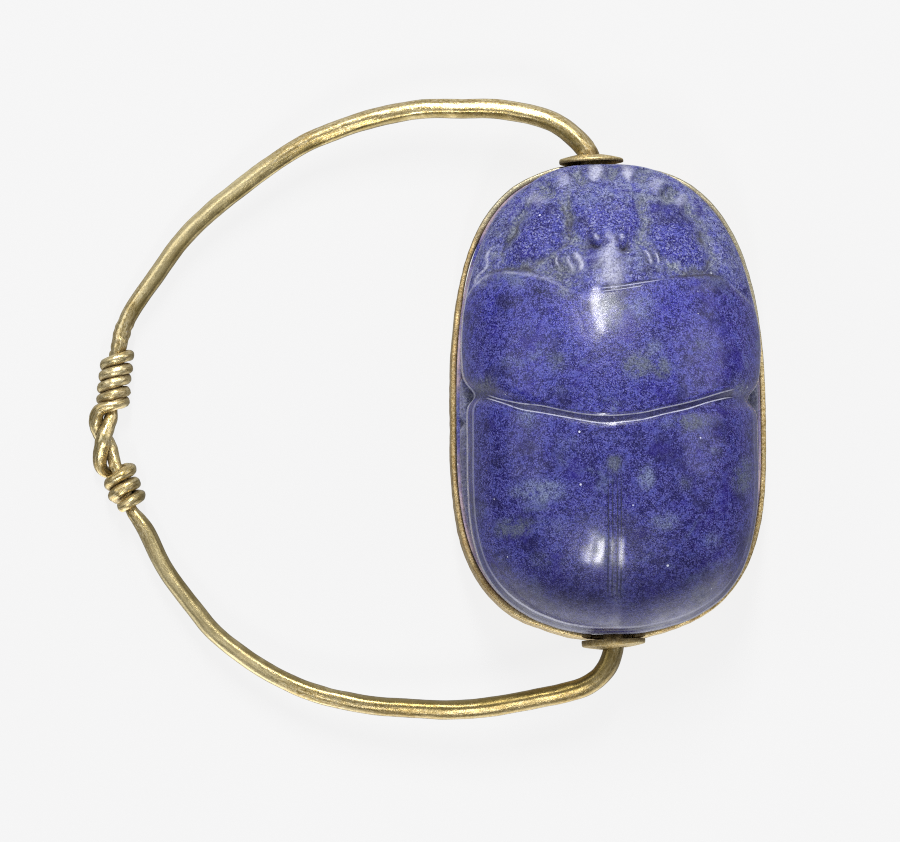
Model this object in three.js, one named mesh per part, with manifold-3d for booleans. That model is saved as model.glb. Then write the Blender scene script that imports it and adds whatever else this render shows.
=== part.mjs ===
// A carved stone scarab in a thin gold band, turning on a gold wire hoop.
// Millimetres, +Z up. The origin is the middle of the stone's flat base, the
// head points to +Y, and the hoop lies out to -X with its tie on the ground.

import * as THREE from 'three';
import { mergeVertices } from 'three/addons/utils/BufferGeometryUtils.js';
import Module from 'manifold-3d';

const wasm = await Module();
wasm.setup();

// ---- driving dimensions -------------------------------------------------
const BAND_HALF_WIDTH = 6.223;   // outside of the gold band at its widest
const BAND_HEAD = 10.671;        // widest line to the head end
const BAND_TAIL = 7.827;         // widest line to the tail end
const WIDEST_Y = -1.557;         // where the widest line lies
const POWER_HEAD = 2.857;        // superellipse powers of the two halves
const POWER_TAIL = 2.789;
const OUTLINE_SHIFT = -0.043;    // the band sits a little to -X
const OUTLINE_BEND = -0.0018;    // and its head end leans further
const BAND_HEIGHT = 2.2;
const BAND_WALL = 0.2;
const BAND_NOTCH = 0.8;          // half width of the gap in the band at the bore
const BAND_NOTCH_FLOOR = 1.5;

const STONE_GAP = 0.05;          // between band and stone
const PLINTH_TOP = 2.3;
const EQUATOR_Z = 3.3;           // where the back overhangs the legs
const CROWN_Z = 7.75;            // top of the back
// Back edge, in from the outside of the band: [Y, inset] down each side.
const INSET_LEFT = [
  [-9.4, 0.04], [-9.14, 0.1], [-8.74, 0.15], [-8.06, 0.18], [-7.07, 0.22], [-5.7, 0.36], [-4.1, 0.5],
  [-2.35, 0.57], [-0.6, 0.57], [0.6, 0.42], [1.8, 0.31], [2.6, 0.28], [3.4, 0.27], [4.35, 0.3], [5.3, 0.32],
  [6.3, 0.34], [7.3, 0.32], [8.1, 0.28], [8.6, 0.2], [8.9, 0.09], [9.12, 0.03],
];
const INSET_RIGHT = [
  [-9.4, 0.04], [-9.2, 0.06], [-8.65, 0.09], [-8.14, 0.08], [-7.17, 0.12], [-5.8, 0.24], [-4.23, 0.33],
  [-2.26, 0.41], [-0.6, 0.42], [0.6, 0.3], [1.68, 0.16], [2.47, 0.11], [3.26, 0.12], [4.05, 0.14], [5.4, 0.08],
  [6.7, 0.03], [7.8, 0.02], [8.46, 0.02], [8.94, 0.03], [9.12, 0.03],
];
const WAIST_CUT = 0.4;           // notch between pronotum and wing cases
const HEAD_DROP = 0.3;           // head and cheeks lie this far below the pronotum

const BORE_X = -0.295;           // bore axis where it crosses Y = 0
const BORE_Z = 2.4;
const BORE_SKEW = THREE.MathUtils.degToRad(1.93);
const BORE_RADIUS = 0.48;

const WASHER_RADIUS = 1.25;
const WASHER_HOLE = 0.5;
const WASHER_DOME = 0.12;
const WASHER_HEAD_RIM = 9.2;     // inner rim, along the bore axis
const WASHER_HEAD_THICK = 0.2;
const WASHER_TAIL_RIM = -9.66;
const WASHER_TAIL_THICK = 0.28;

const WIRE_BORE = 0.4;           // wire radius in the bore
const WIRE_SHANK_END = 0.3;      // just before the tie
const WIRE_CORE_UPPER = 0.225;   // shanks inside the windings
const WIRE_CORE_LOWER = 0.22;
const WIRE_COIL_UPPER = 0.195;   // wound ends
const WIRE_COIL_LOWER = 0.225;
const WINDING_GAP = 0.03;
const HOOP_DROOP = THREE.MathUtils.degToRad(5.06);
const WIRE_SIDES = 10;

const LAPIS = 0x3f3d8f;
const GOLD = 0xd8bb72;

// ---- small helpers -------------------------------------------------------
const clamp01 = (v) => Math.min(1, Math.max(0, v));
const smooth = (a, b, v) => {
  const t = clamp01((v - a) / (b - a));
  return t * t * (3 - 2 * t);
};
const spow = (v, p) => Math.sign(v) * Math.pow(Math.abs(v), p);

// A solid from a closed geometry, and back again.
function toSolid(geometry) {
  const g = geometry.clone();
  for (const name of Object.keys(g.attributes)) {
    if (name !== 'position') g.deleteAttribute(name);
  }
  const m = mergeVertices(g, 1e-4);
  return new wasm.Manifold(new wasm.Mesh({
    numProp: 3,
    vertProperties: new Float32Array(m.attributes.position.array),
    triVerts: new Uint32Array(m.index.array),
  }));
}

function toGeometry(solid) {
  const mesh = solid.getMesh();
  const g = new THREE.BufferGeometry();
  const np = mesh.numProp;
  const count = mesh.vertProperties.length / np;
  const pos = new Float32Array(count * 3);
  for (let i = 0; i < count; i++) {
    for (let k = 0; k < 3; k++) pos[i * 3 + k] = mesh.vertProperties[i * np + k];
  }
  g.setAttribute('position', new THREE.BufferAttribute(pos, 3));
  g.setIndex(Array.from(mesh.triVerts));
  g.computeVertexNormals();
  return g;
}

function meshGeometry(points, triangles) {
  const g = new THREE.BufferGeometry();
  g.setAttribute('position', new THREE.BufferAttribute(new Float32Array(points.flat()), 3));
  g.setIndex(triangles.flat());
  g.computeVertexNormals();
  return g;
}

// ---- outline -------------------------------------------------------------
// The outside of the band, moved in by `inset`, at the angle t.
function outline(t, inset) {
  const c = Math.cos(t);
  const s = Math.sin(t);
  const n = s >= 0 ? POWER_HEAD : POWER_TAIL;
  const length = (s >= 0 ? BAND_HEAD : BAND_TAIL) - inset;
  const y = WIDEST_Y + length * spow(s, 2 / n);
  const lean = OUTLINE_SHIFT + OUTLINE_BEND * Math.max(0, y) ** 2;
  return [(BAND_HALF_WIDTH - inset) * spow(c, 2 / n) + lean, y];
}

// How far the back stands in from the band: the waist cuts in on each side.
function backInset(t) {
  const [x, y] = outline(t, 0);
  const table = x < 0 ? INSET_LEFT : INSET_RIGHT;
  let k = 0;
  while (k < table.length - 2 && y > table[k + 1][0]) k++;
  const f = clamp01((y - table[k][0]) / (table[k + 1][0] - table[k][0]));
  const waistY = -0.02 - 0.145 * Math.sign(x);
  return table[k][1] + (table[k + 1][1] - table[k][1]) * f
    + WAIST_CUT * Math.exp(-(((y - waistY) / 0.42) ** 2));
}

// ---- the back ------------------------------------------------------------
// Front edge of the pronotum: low at the neck, a lobe on each shoulder.
function pronotumFront(x) {
  const a = Math.abs(x);
  return 4.15 + 0.75 * smooth(1.6, 4.0, a) - 1.3 * smooth(4.4, 5.9, a);
}

function pad(x, y, cx, cy, rx, ry, power) {
  const d = Math.abs((x - cx) / rx) ** power + Math.abs((y - cy) / ry) ** power;
  return 1 - smooth(0.7, 1.25, d);
}

// Height of the back over a plan point; r runs from 0 at the crown to 1 at the edge.
function backHeight(x, y, r) {
  const v = clamp01((y - WIDEST_Y) / BAND_HEAD);
  const g = smooth(0, 0.62, v);
  const power = 2.3 - 0.4 * g;
  const root = 0.5 + 0.12 * g;
  let z = EQUATOR_Z + (CROWN_Z - EQUATOR_Z) * Math.pow(Math.max(0, 1 - Math.pow(r, power)), root);
  // The head and cheeks lie lower than the pronotum; the neck runs on.
  const front = pronotumFront(x);
  const neck = 1 - smooth(0.85, 1.4, Math.abs(x));
  z -= HEAD_DROP * smooth(front - 0.1, front + 0.3, y) * (1 - smooth(6.8, 8.2, y))
    * (1 - smooth(3.7, 4.6, Math.abs(x))) * (1 - neck * (1 - smooth(5.0, 5.6, y)));
  // Head plate, cheek plates and eyes stand up from it.
  const edge = 1 - smooth(0.93, 1, r);
  z += 0.24 * edge * pad(x, y, -0.1, 6.9, 1.35, 2.0, 4) * (1 - smooth(7.2, 8.2, y));
  z += 0.2 * edge * pad(x, y, -2.75, 6.05, 1.25, 1.35, 3);
  z += 0.2 * edge * pad(x, y, 2.65, 6.1, 1.25, 1.6, 3);
  z += 0.14 * pad(x, y, -0.48, 5.92, 0.34, 0.34, 2);
  z += 0.14 * pad(x, y, 0.48, 5.98, 0.34, 0.34, 2);
  // The seam between pronotum and wing cases, and between the two cases.
  const seamY = -0.93 + 0.052 * x * x * (1 - smooth(4.2, 5.6, Math.abs(x)) * 0.35);
  z -= 0.1 * Math.exp(-(((y - seamY) / 0.22) ** 2)) * (1 - smooth(0.9, 1, r));
  z -= 0.06 * Math.exp(-((x / 0.3) ** 2)) * smooth(-2.0, -3.5, y) * (1 - smooth(-7.4, -8.2, y));
  return z;
}

function scarabGeometry() {
  const nu = 30;      // squares across
  const nv = 42;      // squares along
  const pts = [];
  const tris = [];
  const grid = (i, j) => j * (nu + 1) + i;
  // A square grid pressed into the outline, so no point is crowded.
  for (let j = 0; j <= nv; j++) {
    for (let i = 0; i <= nu; i++) {
      const a = -1 + (2 * i) / nu;
      const b = -1 + (2 * j) / nv;
      let r = 0;
      let t = 0;
      if (Math.abs(a) > Math.abs(b)) {
        r = Math.abs(a);
        t = (Math.PI / 4) * (b / a) + (a < 0 ? Math.PI : 0);
      } else if (b !== 0) {
        r = Math.abs(b);
        t = Math.PI / 2 - (Math.PI / 4) * (a / b) + (b < 0 ? Math.PI : 0);
      }
      // Rings crowd towards the edge, where the back turns down.
      const rr = Math.sin((Math.PI / 2) * r) * 0.55 + r * 0.45;
      const [ox, oy] = outline(t, backInset(t));
      const x = rr * ox;
      const y = WIDEST_Y + rr * (oy - WIDEST_Y);
      pts.push([x, y, backHeight(x, y, rr)]);
    }
  }
  for (let j = 0; j < nv; j++) {
    for (let i = 0; i < nu; i++) {
      const a = grid(i, j);
      const b = grid(i + 1, j);
      const c = grid(i + 1, j + 1);
      const d = grid(i, j + 1);
      // Corner squares are split so that no triangle lies wholly on the edge.
      if ((i < nu / 2) === (j < nv / 2)) tris.push([a, b, c], [a, c, d]);
      else tris.push([a, b, d], [b, c, d]);
    }
  }
  // The edge of the grid, counter-clockwise from above.
  const edge = [];
  const angle = [];
  for (let i = 0; i < nu; i++) edge.push([i, 0]);
  for (let j = 0; j < nv; j++) edge.push([nu, j]);
  for (let i = nu; i > 0; i--) edge.push([i, nv]);
  for (let j = nv; j > 0; j--) edge.push([0, j]);
  let ring = edge.map(([i, j]) => {
    const a = -1 + (2 * i) / nu;
    const b = -1 + (2 * j) / nv;
    angle.push(Math.abs(a) > Math.abs(b)
      ? (Math.PI / 4) * (b / a) + (a < 0 ? Math.PI : 0)
      : Math.PI / 2 - (Math.PI / 4) * (a / b) + (b < 0 ? Math.PI : 0));
    return grid(i, j);
  });
  // Below the back: an undercut, the legs as a rounded bar, then the plinth.
  const plinth = BAND_WALL + STONE_GAP;
  const rows = [
    (t) => [backInset(t) + 0.24, EQUATOR_Z - 0.3],
    (t) => [Math.min(backInset(t) + 0.08, 0.62), EQUATOR_Z - 0.58],
    (t) => [Math.min(backInset(t) + 0.2, 0.7), PLINTH_TOP + 0.14],
    () => [plinth + 0.1, PLINTH_TOP + 0.08],
    () => [plinth, PLINTH_TOP - 0.02],
    () => [plinth, 0],
  ];
  for (const row of rows) {
    const next = angle.map((t) => {
      const [inset, z] = row(t);
      const [x, y] = outline(t, inset);
      pts.push([x, y, z]);
      return pts.length - 1;
    });
    for (let k = 0; k < ring.length; k++) {
      const m = (k + 1) % ring.length;
      tris.push([ring[k], next[k], next[m]], [ring[k], next[m], ring[m]]);
    }
    ring = next;
  }
  // The flat base.
  const flat = ring.map((p) => new THREE.Vector2(pts[p][0], pts[p][1]));
  for (const [a, b, c] of THREE.ShapeUtils.triangulateShape(flat, [])) {
    tris.push([ring[a], ring[c], ring[b]]);
  }
  return meshGeometry(pts, tris);
}

// ---- the bore axis -------------------------------------------------------
// Along-axis parts are built about +Y and then laid on the skewed bore.
const onBore = new THREE.Matrix4()
  .makeRotationZ(BORE_SKEW)
  .setPosition(BORE_X, 0, BORE_Z);

const bore = new THREE.CylinderGeometry(BORE_RADIUS, BORE_RADIUS, 26, 20);
bore.applyMatrix4(onBore);
const scarabSolid = toSolid(scarabGeometry()).subtract(toSolid(bore));

// ---- the band ------------------------------------------------------------
function bandSolid() {
  const steps = 96;
  const path = (inset) => {
    const list = [];
    for (let k = 0; k < steps; k++) {
      const [x, y] = outline((2 * Math.PI * (k + 0.5)) / steps, inset);
      list.push(new THREE.Vector2(x, y));
    }
    return list;
  };
  const shape = new THREE.Shape(path(0));
  shape.holes.push(new THREE.Path(path(BAND_WALL).reverse()));
  const strip = new THREE.ExtrudeGeometry(shape, { depth: BAND_HEIGHT, bevelEnabled: false });
  const gap = new THREE.BoxGeometry(2 * BAND_NOTCH, 26, 2);
  gap.translate(0, 0, BAND_NOTCH_FLOOR + 1 - BORE_Z);
  gap.applyMatrix4(onBore);
  return toSolid(strip).subtract(toSolid(gap));
}

// ---- washers -------------------------------------------------------------
// A shallow dome with a hole; `sign` turns its hollow side to the stone.
function washerGeometry(rim, thick, sign) {
  const steps = 2;
  const outer = [];
  const inner = [];
  for (let k = 0; k <= steps; k++) {
    const r = WASHER_HOLE + ((WASHER_RADIUS - WASHER_HOLE) * k) / steps;
    const rise = WASHER_DOME * (1 - (r / WASHER_RADIUS) ** 2);
    inner.push(new THREE.Vector2(r, rim + sign * rise));
    outer.push(new THREE.Vector2(k === steps ? r - 0.05 : r, rim + sign * (rise + thick)));
  }
  const loop = [...inner, new THREE.Vector2(WASHER_RADIUS, rim + sign * thick * 0.7), ...outer.reverse()];
  loop.push(loop[0].clone());
  if (sign < 0) loop.reverse();
  return new THREE.LatheGeometry(loop, 26);
}

// ---- the wire ------------------------------------------------------------
// In the plane of the hoop: x out from the bore (to -x), y along the bore,
// z up from the plane. Each entry of the path is [x, y, z, radius].
const HEAD_ARC = [
  [-0.03, 9.42], [-0.14, 9.68], [-0.38, 10.02], [-0.68, 10.35], [-1.05, 10.67], [-1.72, 11.05], [-3.31, 11.5],
  [-5.01, 11.64], [-6.67, 11.69], [-8.29, 11.48], [-9.83, 11.09], [-11.33, 10.55], [-12.71, 9.76],
  [-15.26, 7.96], [-16.44, 6.87], [-17.43, 5.6], [-18.46, 4.26], [-18.87, 3.41],
];
const TAIL_ARC = [
  [-18.31, -4.34], [-17.64, -5.87], [-16.72, -7.28], [-15.69, -8.63], [-14.43, -9.72], [-13.01, -10.65],
  [-11.43, -11.32], [-9.81, -11.73], [-8.16, -11.95], [-6.47, -12.09], [-4.77, -12.02], [-3.06, -11.78],
  [-2.1, -11.64], [-1.24, -11.42], [-0.6, -11.04], [-0.24, -10.6], [-0.07, -10.2], [0, -9.93],
];
// Winding axes: the upper one runs up the page, the lower one down it.
const UPPER = { from: [-19.39, 0.5], to: [-19.13, 2.32], turns: 4, after: 0.6 };
const LOWER = { from: [-19.18, -2.27], to: [-18.88, -3.34], turns: 2, before: 0.5, after: 0.12 };

function winding(w, radius, u0, u1, steps, hand) {
  const dx = w.to[0] - w.from[0];
  const dy = w.to[1] - w.from[1];
  const len = Math.hypot(dx, dy);
  // `side` lies in the plane, to the right of a winder facing up the page.
  const side = [Math.abs(dy) / len, (dy > 0 ? -dx : dx) / len];
  const list = [];
  for (let k = 0; k <= steps; k++) {
    const u = u0 + ((u1 - u0) * k) / steps;      // in turns from the first front crossing
    const a = 2 * Math.PI * u * hand;
    const x = w.from[0] + (dx * u) / w.turns + radius * Math.sin(a) * side[0];
    const y = w.from[1] + (dy * u) / w.turns + radius * Math.sin(a) * side[1];
    list.push([x, y, radius * Math.cos(a)]);
  }
  return list;
}

function wirePath() {
  const path = [];
  const put = (list, radius) => list.forEach(([x, y, z = 0], k) => {
    path.push([x, y, z, typeof radius === 'function' ? radius(k / Math.max(1, list.length - 1)) : radius]);
  });
  const rUp = WIRE_CORE_UPPER + WIRE_COIL_UPPER + WINDING_GAP;
  const rLow = WIRE_CORE_LOWER + WIRE_COIL_LOWER + WINDING_GAP;
  // Free end of the lower shank, wound down the upper shank.
  put(winding(UPPER, rUp, UPPER.turns + UPPER.after, 0, 56, 1), WIRE_COIL_UPPER);
  // It drops on the outside, goes under the other strand and becomes the lower shank.
  put([[-19.79, 0.44, 0.4], [-20.08, 0.24, 0.22], [-20.17, -0.13, 0.04], [-20.01, -0.53, -0.14],
    [-19.68, -0.82, -0.25], [-19.46, -1.23, -0.17], [-19.31, -1.76, -0.03]], 0.215);
  put([[-19.18, -2.27], [-19.03, -2.805], [-18.88, -3.34], [-18.77, -3.66]], WIRE_CORE_LOWER);
  put(TAIL_ARC, (u) => WIRE_SHANK_END + (WIRE_BORE - WIRE_SHANK_END) * smooth(-0.05, 0.75, u));
  put([[0, -9.5], [0, -3], [0, 3], [0, 9.0]], WIRE_BORE);
  put(HEAD_ARC, (u) => WIRE_BORE - (WIRE_BORE - WIRE_SHANK_END) * smooth(0.25, 1.05, u));
  put([[-19.1, 2.52]], WIRE_CORE_UPPER + 0.01);
  put([[-19.2, 1.83], [-19.294, 1.17], [-19.39, 0.5]], WIRE_CORE_UPPER);
  // The upper shank crosses in front, loops round and is wound down the lower shank.
  put([[-19.42, 0.04, 0.04], [-19.56, -0.39, 0.17], [-19.72, -0.78, 0.25], [-19.88, -1.14, 0.19],
    [-20.06, -1.51, 0.05], [-20.06, -1.84, -0.14], [-19.84, -2.04, -0.34], [-19.58, -2.04, -0.45]], WIRE_COIL_LOWER);
  put(winding(LOWER, rLow, -LOWER.before, LOWER.turns + LOWER.after, 34, -1), WIRE_COIL_LOWER);
  return path;
}

// A tube of changing radius along the path, closed with rounded ends.
function wireGeometry(path, sides) {
  const curve = new THREE.CatmullRomCurve3(path.map((p) => new THREE.Vector3(p[0], p[1], p[2])), false, 'centripetal');
  const last = path.length - 1;
  const stations = [];
  for (let k = 0; k < last; k++) {
    const [x0, y0, z0] = path[k];
    const [x1, y1, z1] = path[k + 1];
    const span = Math.hypot(x1 - x0, y1 - y0, z1 - z0);
    const bore = x0 === 0 && x1 === 0;
    const cut = bore ? 1 : Math.max(1, Math.round(span / (x0 < -18.9 ? 0.34 : 1.0)));
    for (let m = 0; m < cut; m++) {
      const f = m / cut;
      stations.push([(k + f) / last, path[k][3] + (path[k + 1][3] - path[k][3]) * f]);
    }
  }
  stations.push([1, path[last][3]]);
  const pts = [];
  const tris = [];
  let normal = null;
  let prev = null;
  const centre = stations.map(([t]) => curve.getPoint(t));
  const rings = [];
  const addRing = (c, tangent, r) => {
    const bi = new THREE.Vector3().crossVectors(tangent, normal).normalize();
    const ids = [];
    for (let s = 0; s < sides; s++) {
      const a = (2 * Math.PI * s) / sides;
      const q = c.clone().addScaledVector(normal, r * Math.cos(a)).addScaledVector(bi, r * Math.sin(a));
      pts.push([q.x, q.y, q.z]);
      ids.push(pts.length - 1);
    }
    rings.push(ids);
  };
  stations.forEach(([, r], k) => {
    const ahead = centre[Math.min(k + 1, centre.length - 1)];
    const back = centre[Math.max(k - 1, 0)];
    const tangent = new THREE.Vector3().subVectors(ahead, back).normalize();
    if (!normal) {
      normal = new THREE.Vector3(0, 0, 1);
      if (Math.abs(tangent.z) > 0.9) normal.set(1, 0, 0);
    } else {
      normal.applyQuaternion(new THREE.Quaternion().setFromUnitVectors(prev, tangent));
    }
    normal.addScaledVector(tangent, -normal.dot(tangent)).normalize();
    prev = tangent.clone();
    if (k === 0) addRing(centre[0].clone().addScaledVector(tangent, -0.45 * r), tangent, 0.6 * r);
    addRing(centre[k], tangent, r);
    if (k === stations.length - 1) addRing(centre[k].clone().addScaledVector(tangent, 0.45 * r), tangent, 0.6 * r);
  });
  for (let k = 0; k + 1 < rings.length; k++) {
    for (let s = 0; s < sides; s++) {
      const n = (s + 1) % sides;
      tris.push([rings[k][s], rings[k][n], rings[k + 1][n]], [rings[k][s], rings[k + 1][n], rings[k + 1][s]]);
    }
  }
  for (let s = 1; s + 1 < sides; s++) {
    const f = rings[0];
    const l = rings[rings.length - 1];
    tris.push([f[0], f[s + 1], f[s]], [l[0], l[s], l[s + 1]]);
  }
  return meshGeometry(pts, tris);
}

// ---- assembly ------------------------------------------------------------
const stone = new THREE.MeshStandardMaterial({ color: LAPIS, roughness: 0.35, metalness: 0 });
const gold = () => new THREE.MeshStandardMaterial({ color: GOLD, roughness: 0.3, metalness: 1 });
const named = (name, geometry, material) => {
  const mesh = new THREE.Mesh(geometry, material);
  mesh.name = name;
  return mesh;
};

const amulet = new THREE.Group();
amulet.add(named('scarab', toGeometry(scarabSolid), stone));
amulet.add(named('bezel', toGeometry(bandSolid()), gold()));

// Everything threaded on the bore axis.
const axle = new THREE.Group();
axle.position.set(BORE_X, 0, BORE_Z);
axle.rotation.z = BORE_SKEW;
axle.add(named('washer_head', washerGeometry(WASHER_HEAD_RIM, WASHER_HEAD_THICK, 1), gold()));
axle.add(named('washer_tail', washerGeometry(WASHER_TAIL_RIM, WASHER_TAIL_THICK, -1), gold()));

// The hoop hangs from the axis until its tie meets the ground.
const droop = new THREE.Group();
droop.rotation.y = -HOOP_DROOP;
droop.add(named('hoop', wireGeometry(wirePath(), WIRE_SIDES), gold()));
axle.add(droop);
amulet.add(axle);

export default amulet;
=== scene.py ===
"""Looks of a stone scarab on a gold wire hoop. The frame is in metres; the sizes below are in millimetres."""

import math

import bpy
import numpy as np
from mathutils import Matrix, Vector


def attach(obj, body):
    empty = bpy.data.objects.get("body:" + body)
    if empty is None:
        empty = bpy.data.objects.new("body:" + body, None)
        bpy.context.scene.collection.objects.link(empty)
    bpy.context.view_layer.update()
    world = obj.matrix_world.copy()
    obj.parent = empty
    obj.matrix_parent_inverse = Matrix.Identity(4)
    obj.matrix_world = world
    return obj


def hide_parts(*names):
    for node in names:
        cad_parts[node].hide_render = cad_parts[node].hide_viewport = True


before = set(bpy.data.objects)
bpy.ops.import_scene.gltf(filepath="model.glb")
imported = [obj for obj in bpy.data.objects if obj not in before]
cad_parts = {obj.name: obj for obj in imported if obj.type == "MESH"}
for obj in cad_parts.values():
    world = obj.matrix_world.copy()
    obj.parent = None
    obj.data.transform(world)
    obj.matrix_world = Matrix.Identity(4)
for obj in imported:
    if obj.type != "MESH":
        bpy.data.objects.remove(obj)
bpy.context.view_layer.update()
MM = 0.001

# ---------------------------------------------------------------- sizes
W, LH, LT, Y0, NH, NT = 6.223, 10.671, 7.827, -1.557, 2.857, 2.789   # outside of the band
SHIFT, BEND = -0.043, -0.0018                                          # it leans to -X
EQ, CROWN = 3.3, 7.75                                                  # edge and top of the back
WAIST = 0.40
# back edge, in from the outside of the band, down each side
INSET_L = [(-9.38, -0.07), (-9.33, -0.01), (-9.14, 0.09), (-8.74, 0.15), (-8.06, 0.18), (-7.07, 0.22), (-5.7, 0.36), (-4.1, 0.5), (-2.35, 0.57),
           (-0.6, 0.57), (0.6, 0.42), (1.8, 0.31), (2.6, 0.28), (3.4, 0.27), (4.35, 0.3), (5.3, 0.32), (6.3, 0.34), (7.3, 0.32),
           (8.1, 0.33), (8.6, 0.30), (8.9, 0.18), (9.12, 0.03)]
INSET_R = [(-9.38, -0.07), (-9.33, -0.01), (-9.2, 0.05), (-8.65, 0.09), (-8.14, 0.08), (-7.17, 0.12), (-5.8, 0.24), (-4.23, 0.33), (-2.26, 0.41),
           (-0.6, 0.42), (0.6, 0.3), (1.68, 0.16), (2.47, 0.13), (3.26, 0.17), (4.05, 0.21), (5.4, 0.24), (6.7, 0.27), (7.8, 0.28),
           (8.46, 0.25), (8.94, 0.14), (9.12, 0.04)]
BAND_H, BAND_T = 2.2, 0.235
BORE = np.array([-0.295, 0.0, 2.4])
SKEW, DROOP = math.radians(1.93), math.radians(5.06)
BORE_R = 0.48


# ---------------------------------------------------------------- helpers
def sm(a, b, v):
    t = np.clip((v - a) / (b - a), 0.0, 1.0)
    return t * t * (3 - 2 * t)


def bell(v, w):
    return np.exp(-((v / w) ** 2))


def spow(v, p):
    return np.sign(v) * np.abs(v) ** p


def waves(x, y, size, seed, n=14):
    """Smooth unevenness of about unit strength, with features of about that size."""
    rng = np.random.default_rng(seed)
    out = np.zeros_like(x)
    for _ in range(n):
        k = 2 * math.pi / (size * rng.uniform(1.2, 3.0))
        a = rng.uniform(0, 2 * math.pi)
        out += np.cos(k * (x * math.cos(a) + y * math.sin(a)) + rng.uniform(0, 2 * math.pi))
    return out / math.sqrt(n / 2)


def wave1(s, size, seed, n=10):
    return waves(np.asarray(s, float), np.zeros_like(np.asarray(s, float)), size, seed, n)


def catmull(points, per=8):
    """A smooth curve through the points, `per` steps between each two (a list gives each its own)."""
    p = np.array(points, float)
    a = np.vstack([2 * p[0] - p[1], p, 2 * p[-1] - p[-2]])
    out = []
    for i in range(1, len(a) - 2):
        q = a[i - 1:i + 3]
        t = np.concatenate([[0], np.cumsum(np.maximum(1e-9, np.linalg.norm(np.diff(q[:, :3], axis=0), axis=1)) ** 0.5)])
        n = per[i - 1] if not isinstance(per, int) else per
        u = (t[1] + (t[2] - t[1]) * np.arange(n) / n)[:, None]
        b1 = (t[1] - u) / (t[1] - t[0]) * q[0] + (u - t[0]) / (t[1] - t[0]) * q[1]
        b2 = (t[2] - u) / (t[2] - t[1]) * q[1] + (u - t[1]) / (t[2] - t[1]) * q[2]
        b3 = (t[3] - u) / (t[3] - t[2]) * q[2] + (u - t[2]) / (t[3] - t[2]) * q[3]
        c1 = (t[2] - u) / (t[2] - t[0]) * b1 + (u - t[0]) / (t[2] - t[0]) * b2
        c2 = (t[3] - u) / (t[3] - t[1]) * b2 + (u - t[1]) / (t[3] - t[1]) * b3
        out.append((t[2] - u) / (t[2] - t[1]) * c1 + (u - t[1]) / (t[2] - t[1]) * c2)
    return np.vstack(out + [p[-1:]])


def near(x, y, line, reach=0.7):
    """Distance to a line, how far along it (0 to 1) and on which side."""
    d, f, s = np.full(x.shape, 9.0), np.zeros_like(x), np.zeros_like(x)
    lo, hi = line.min(0) - reach, line.max(0) + reach
    k = np.nonzero((x > lo[0]) & (x < hi[0]) & (y > lo[1]) & (y < hi[1]))
    if not len(k[0]):
        return d, f, s
    px, py = x[k], y[k]
    run = np.concatenate([[0], np.cumsum(np.linalg.norm(np.diff(line, axis=0), axis=1))])
    best, bf, bs = np.full(px.shape, 1e9), np.zeros_like(px), np.zeros_like(px)
    for i in range(len(line) - 1):
        ax, ay = line[i]
        ux, uy = line[i + 1] - line[i]
        ll = ux * ux + uy * uy
        if ll < 1e-12:
            continue
        t = np.clip(((px - ax) * ux + (py - ay) * uy) / ll, 0, 1)
        dx, dy = px - ax - t * ux, py - ay - t * uy
        q = dx * dx + dy * dy
        m = q < best
        best[m], bf[m], bs[m] = q[m], (run[i] + t[m] * math.sqrt(ll)) / run[-1], (ux * dy - uy * dx)[m]
    d[k], f[k], s[k] = np.sqrt(best), bf, np.sign(bs)
    return d, f, s


def inside(x, y, ring):
    """Distance in from the edge of a closed shape; negative outside."""
    loop = np.vstack([ring, ring[:1]])
    d, _, _ = near(x, y, loop)
    hit = np.zeros(x.shape, bool)
    for i in range(len(ring)):
        (ax, ay), (bx, by) = loop[i], loop[i + 1]
        if ay == by:
            continue
        hit ^= ((ay > y) != (by > y)) & (x < (bx - ax) * (y - ay) / (by - ay) + ax)
    return np.where(hit, d, -d)


def closed(points, per=6):
    p = [tuple(q) for q in points]
    return catmull(p[-2:] + p + p[:3], per)[2 * per:-3 * per + per]


def taper(f, a=0.12, b=0.12):
    return sm(0, a, f) * (1 - sm(1 - b, 1, f))


def make(name, verts, faces, attrs=None, smooth=True):
    me = bpy.data.meshes.new(name)
    me.from_pydata((np.asarray(verts, float) * MM).tolist(), [], [list(map(int, f)) for f in faces])
    for key, val in (attrs or {}).items():
        val = np.asarray(val, np.float32)
        if val.ndim == 2:
            me.attributes.new(key, "FLOAT_VECTOR", "POINT").data.foreach_set("vector", val.ravel())
        else:
            me.attributes.new(key, "FLOAT", "POINT").data.foreach_set("value", val)
    me.validate()
    if smooth:
        me.polygons.foreach_set("use_smooth", np.ones(len(me.polygons), bool))
    me.update()
    ob = bpy.data.objects.new(name, me)
    bpy.context.scene.collection.objects.link(ob)
    return ob


# ---------------------------------------------------------------- outline of the stone
def outline(t, d):
    c, s = np.cos(t), np.sin(t)
    n = np.where(s >= 0, NH, NT)
    y = Y0 + (np.where(s >= 0, LH, LT) - d) * spow(s, 2 / n)
    return (W - d) * spow(c, 2 / n) + SHIFT + BEND * np.maximum(0, y) ** 2, y


def waist_y(x):
    return -0.02 - 0.145 * np.sign(x)


def back_inset(t):
    x, y = outline(t, 0 * t)
    left, right = np.array(INSET_L), np.array(INSET_R)
    e = np.where(x < 0, np.interp(y, left[:, 0], left[:, 1]), np.interp(y, right[:, 0], right[:, 1]))
    return e + WAIST * bell(y - waist_y(x), 0.42)


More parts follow.
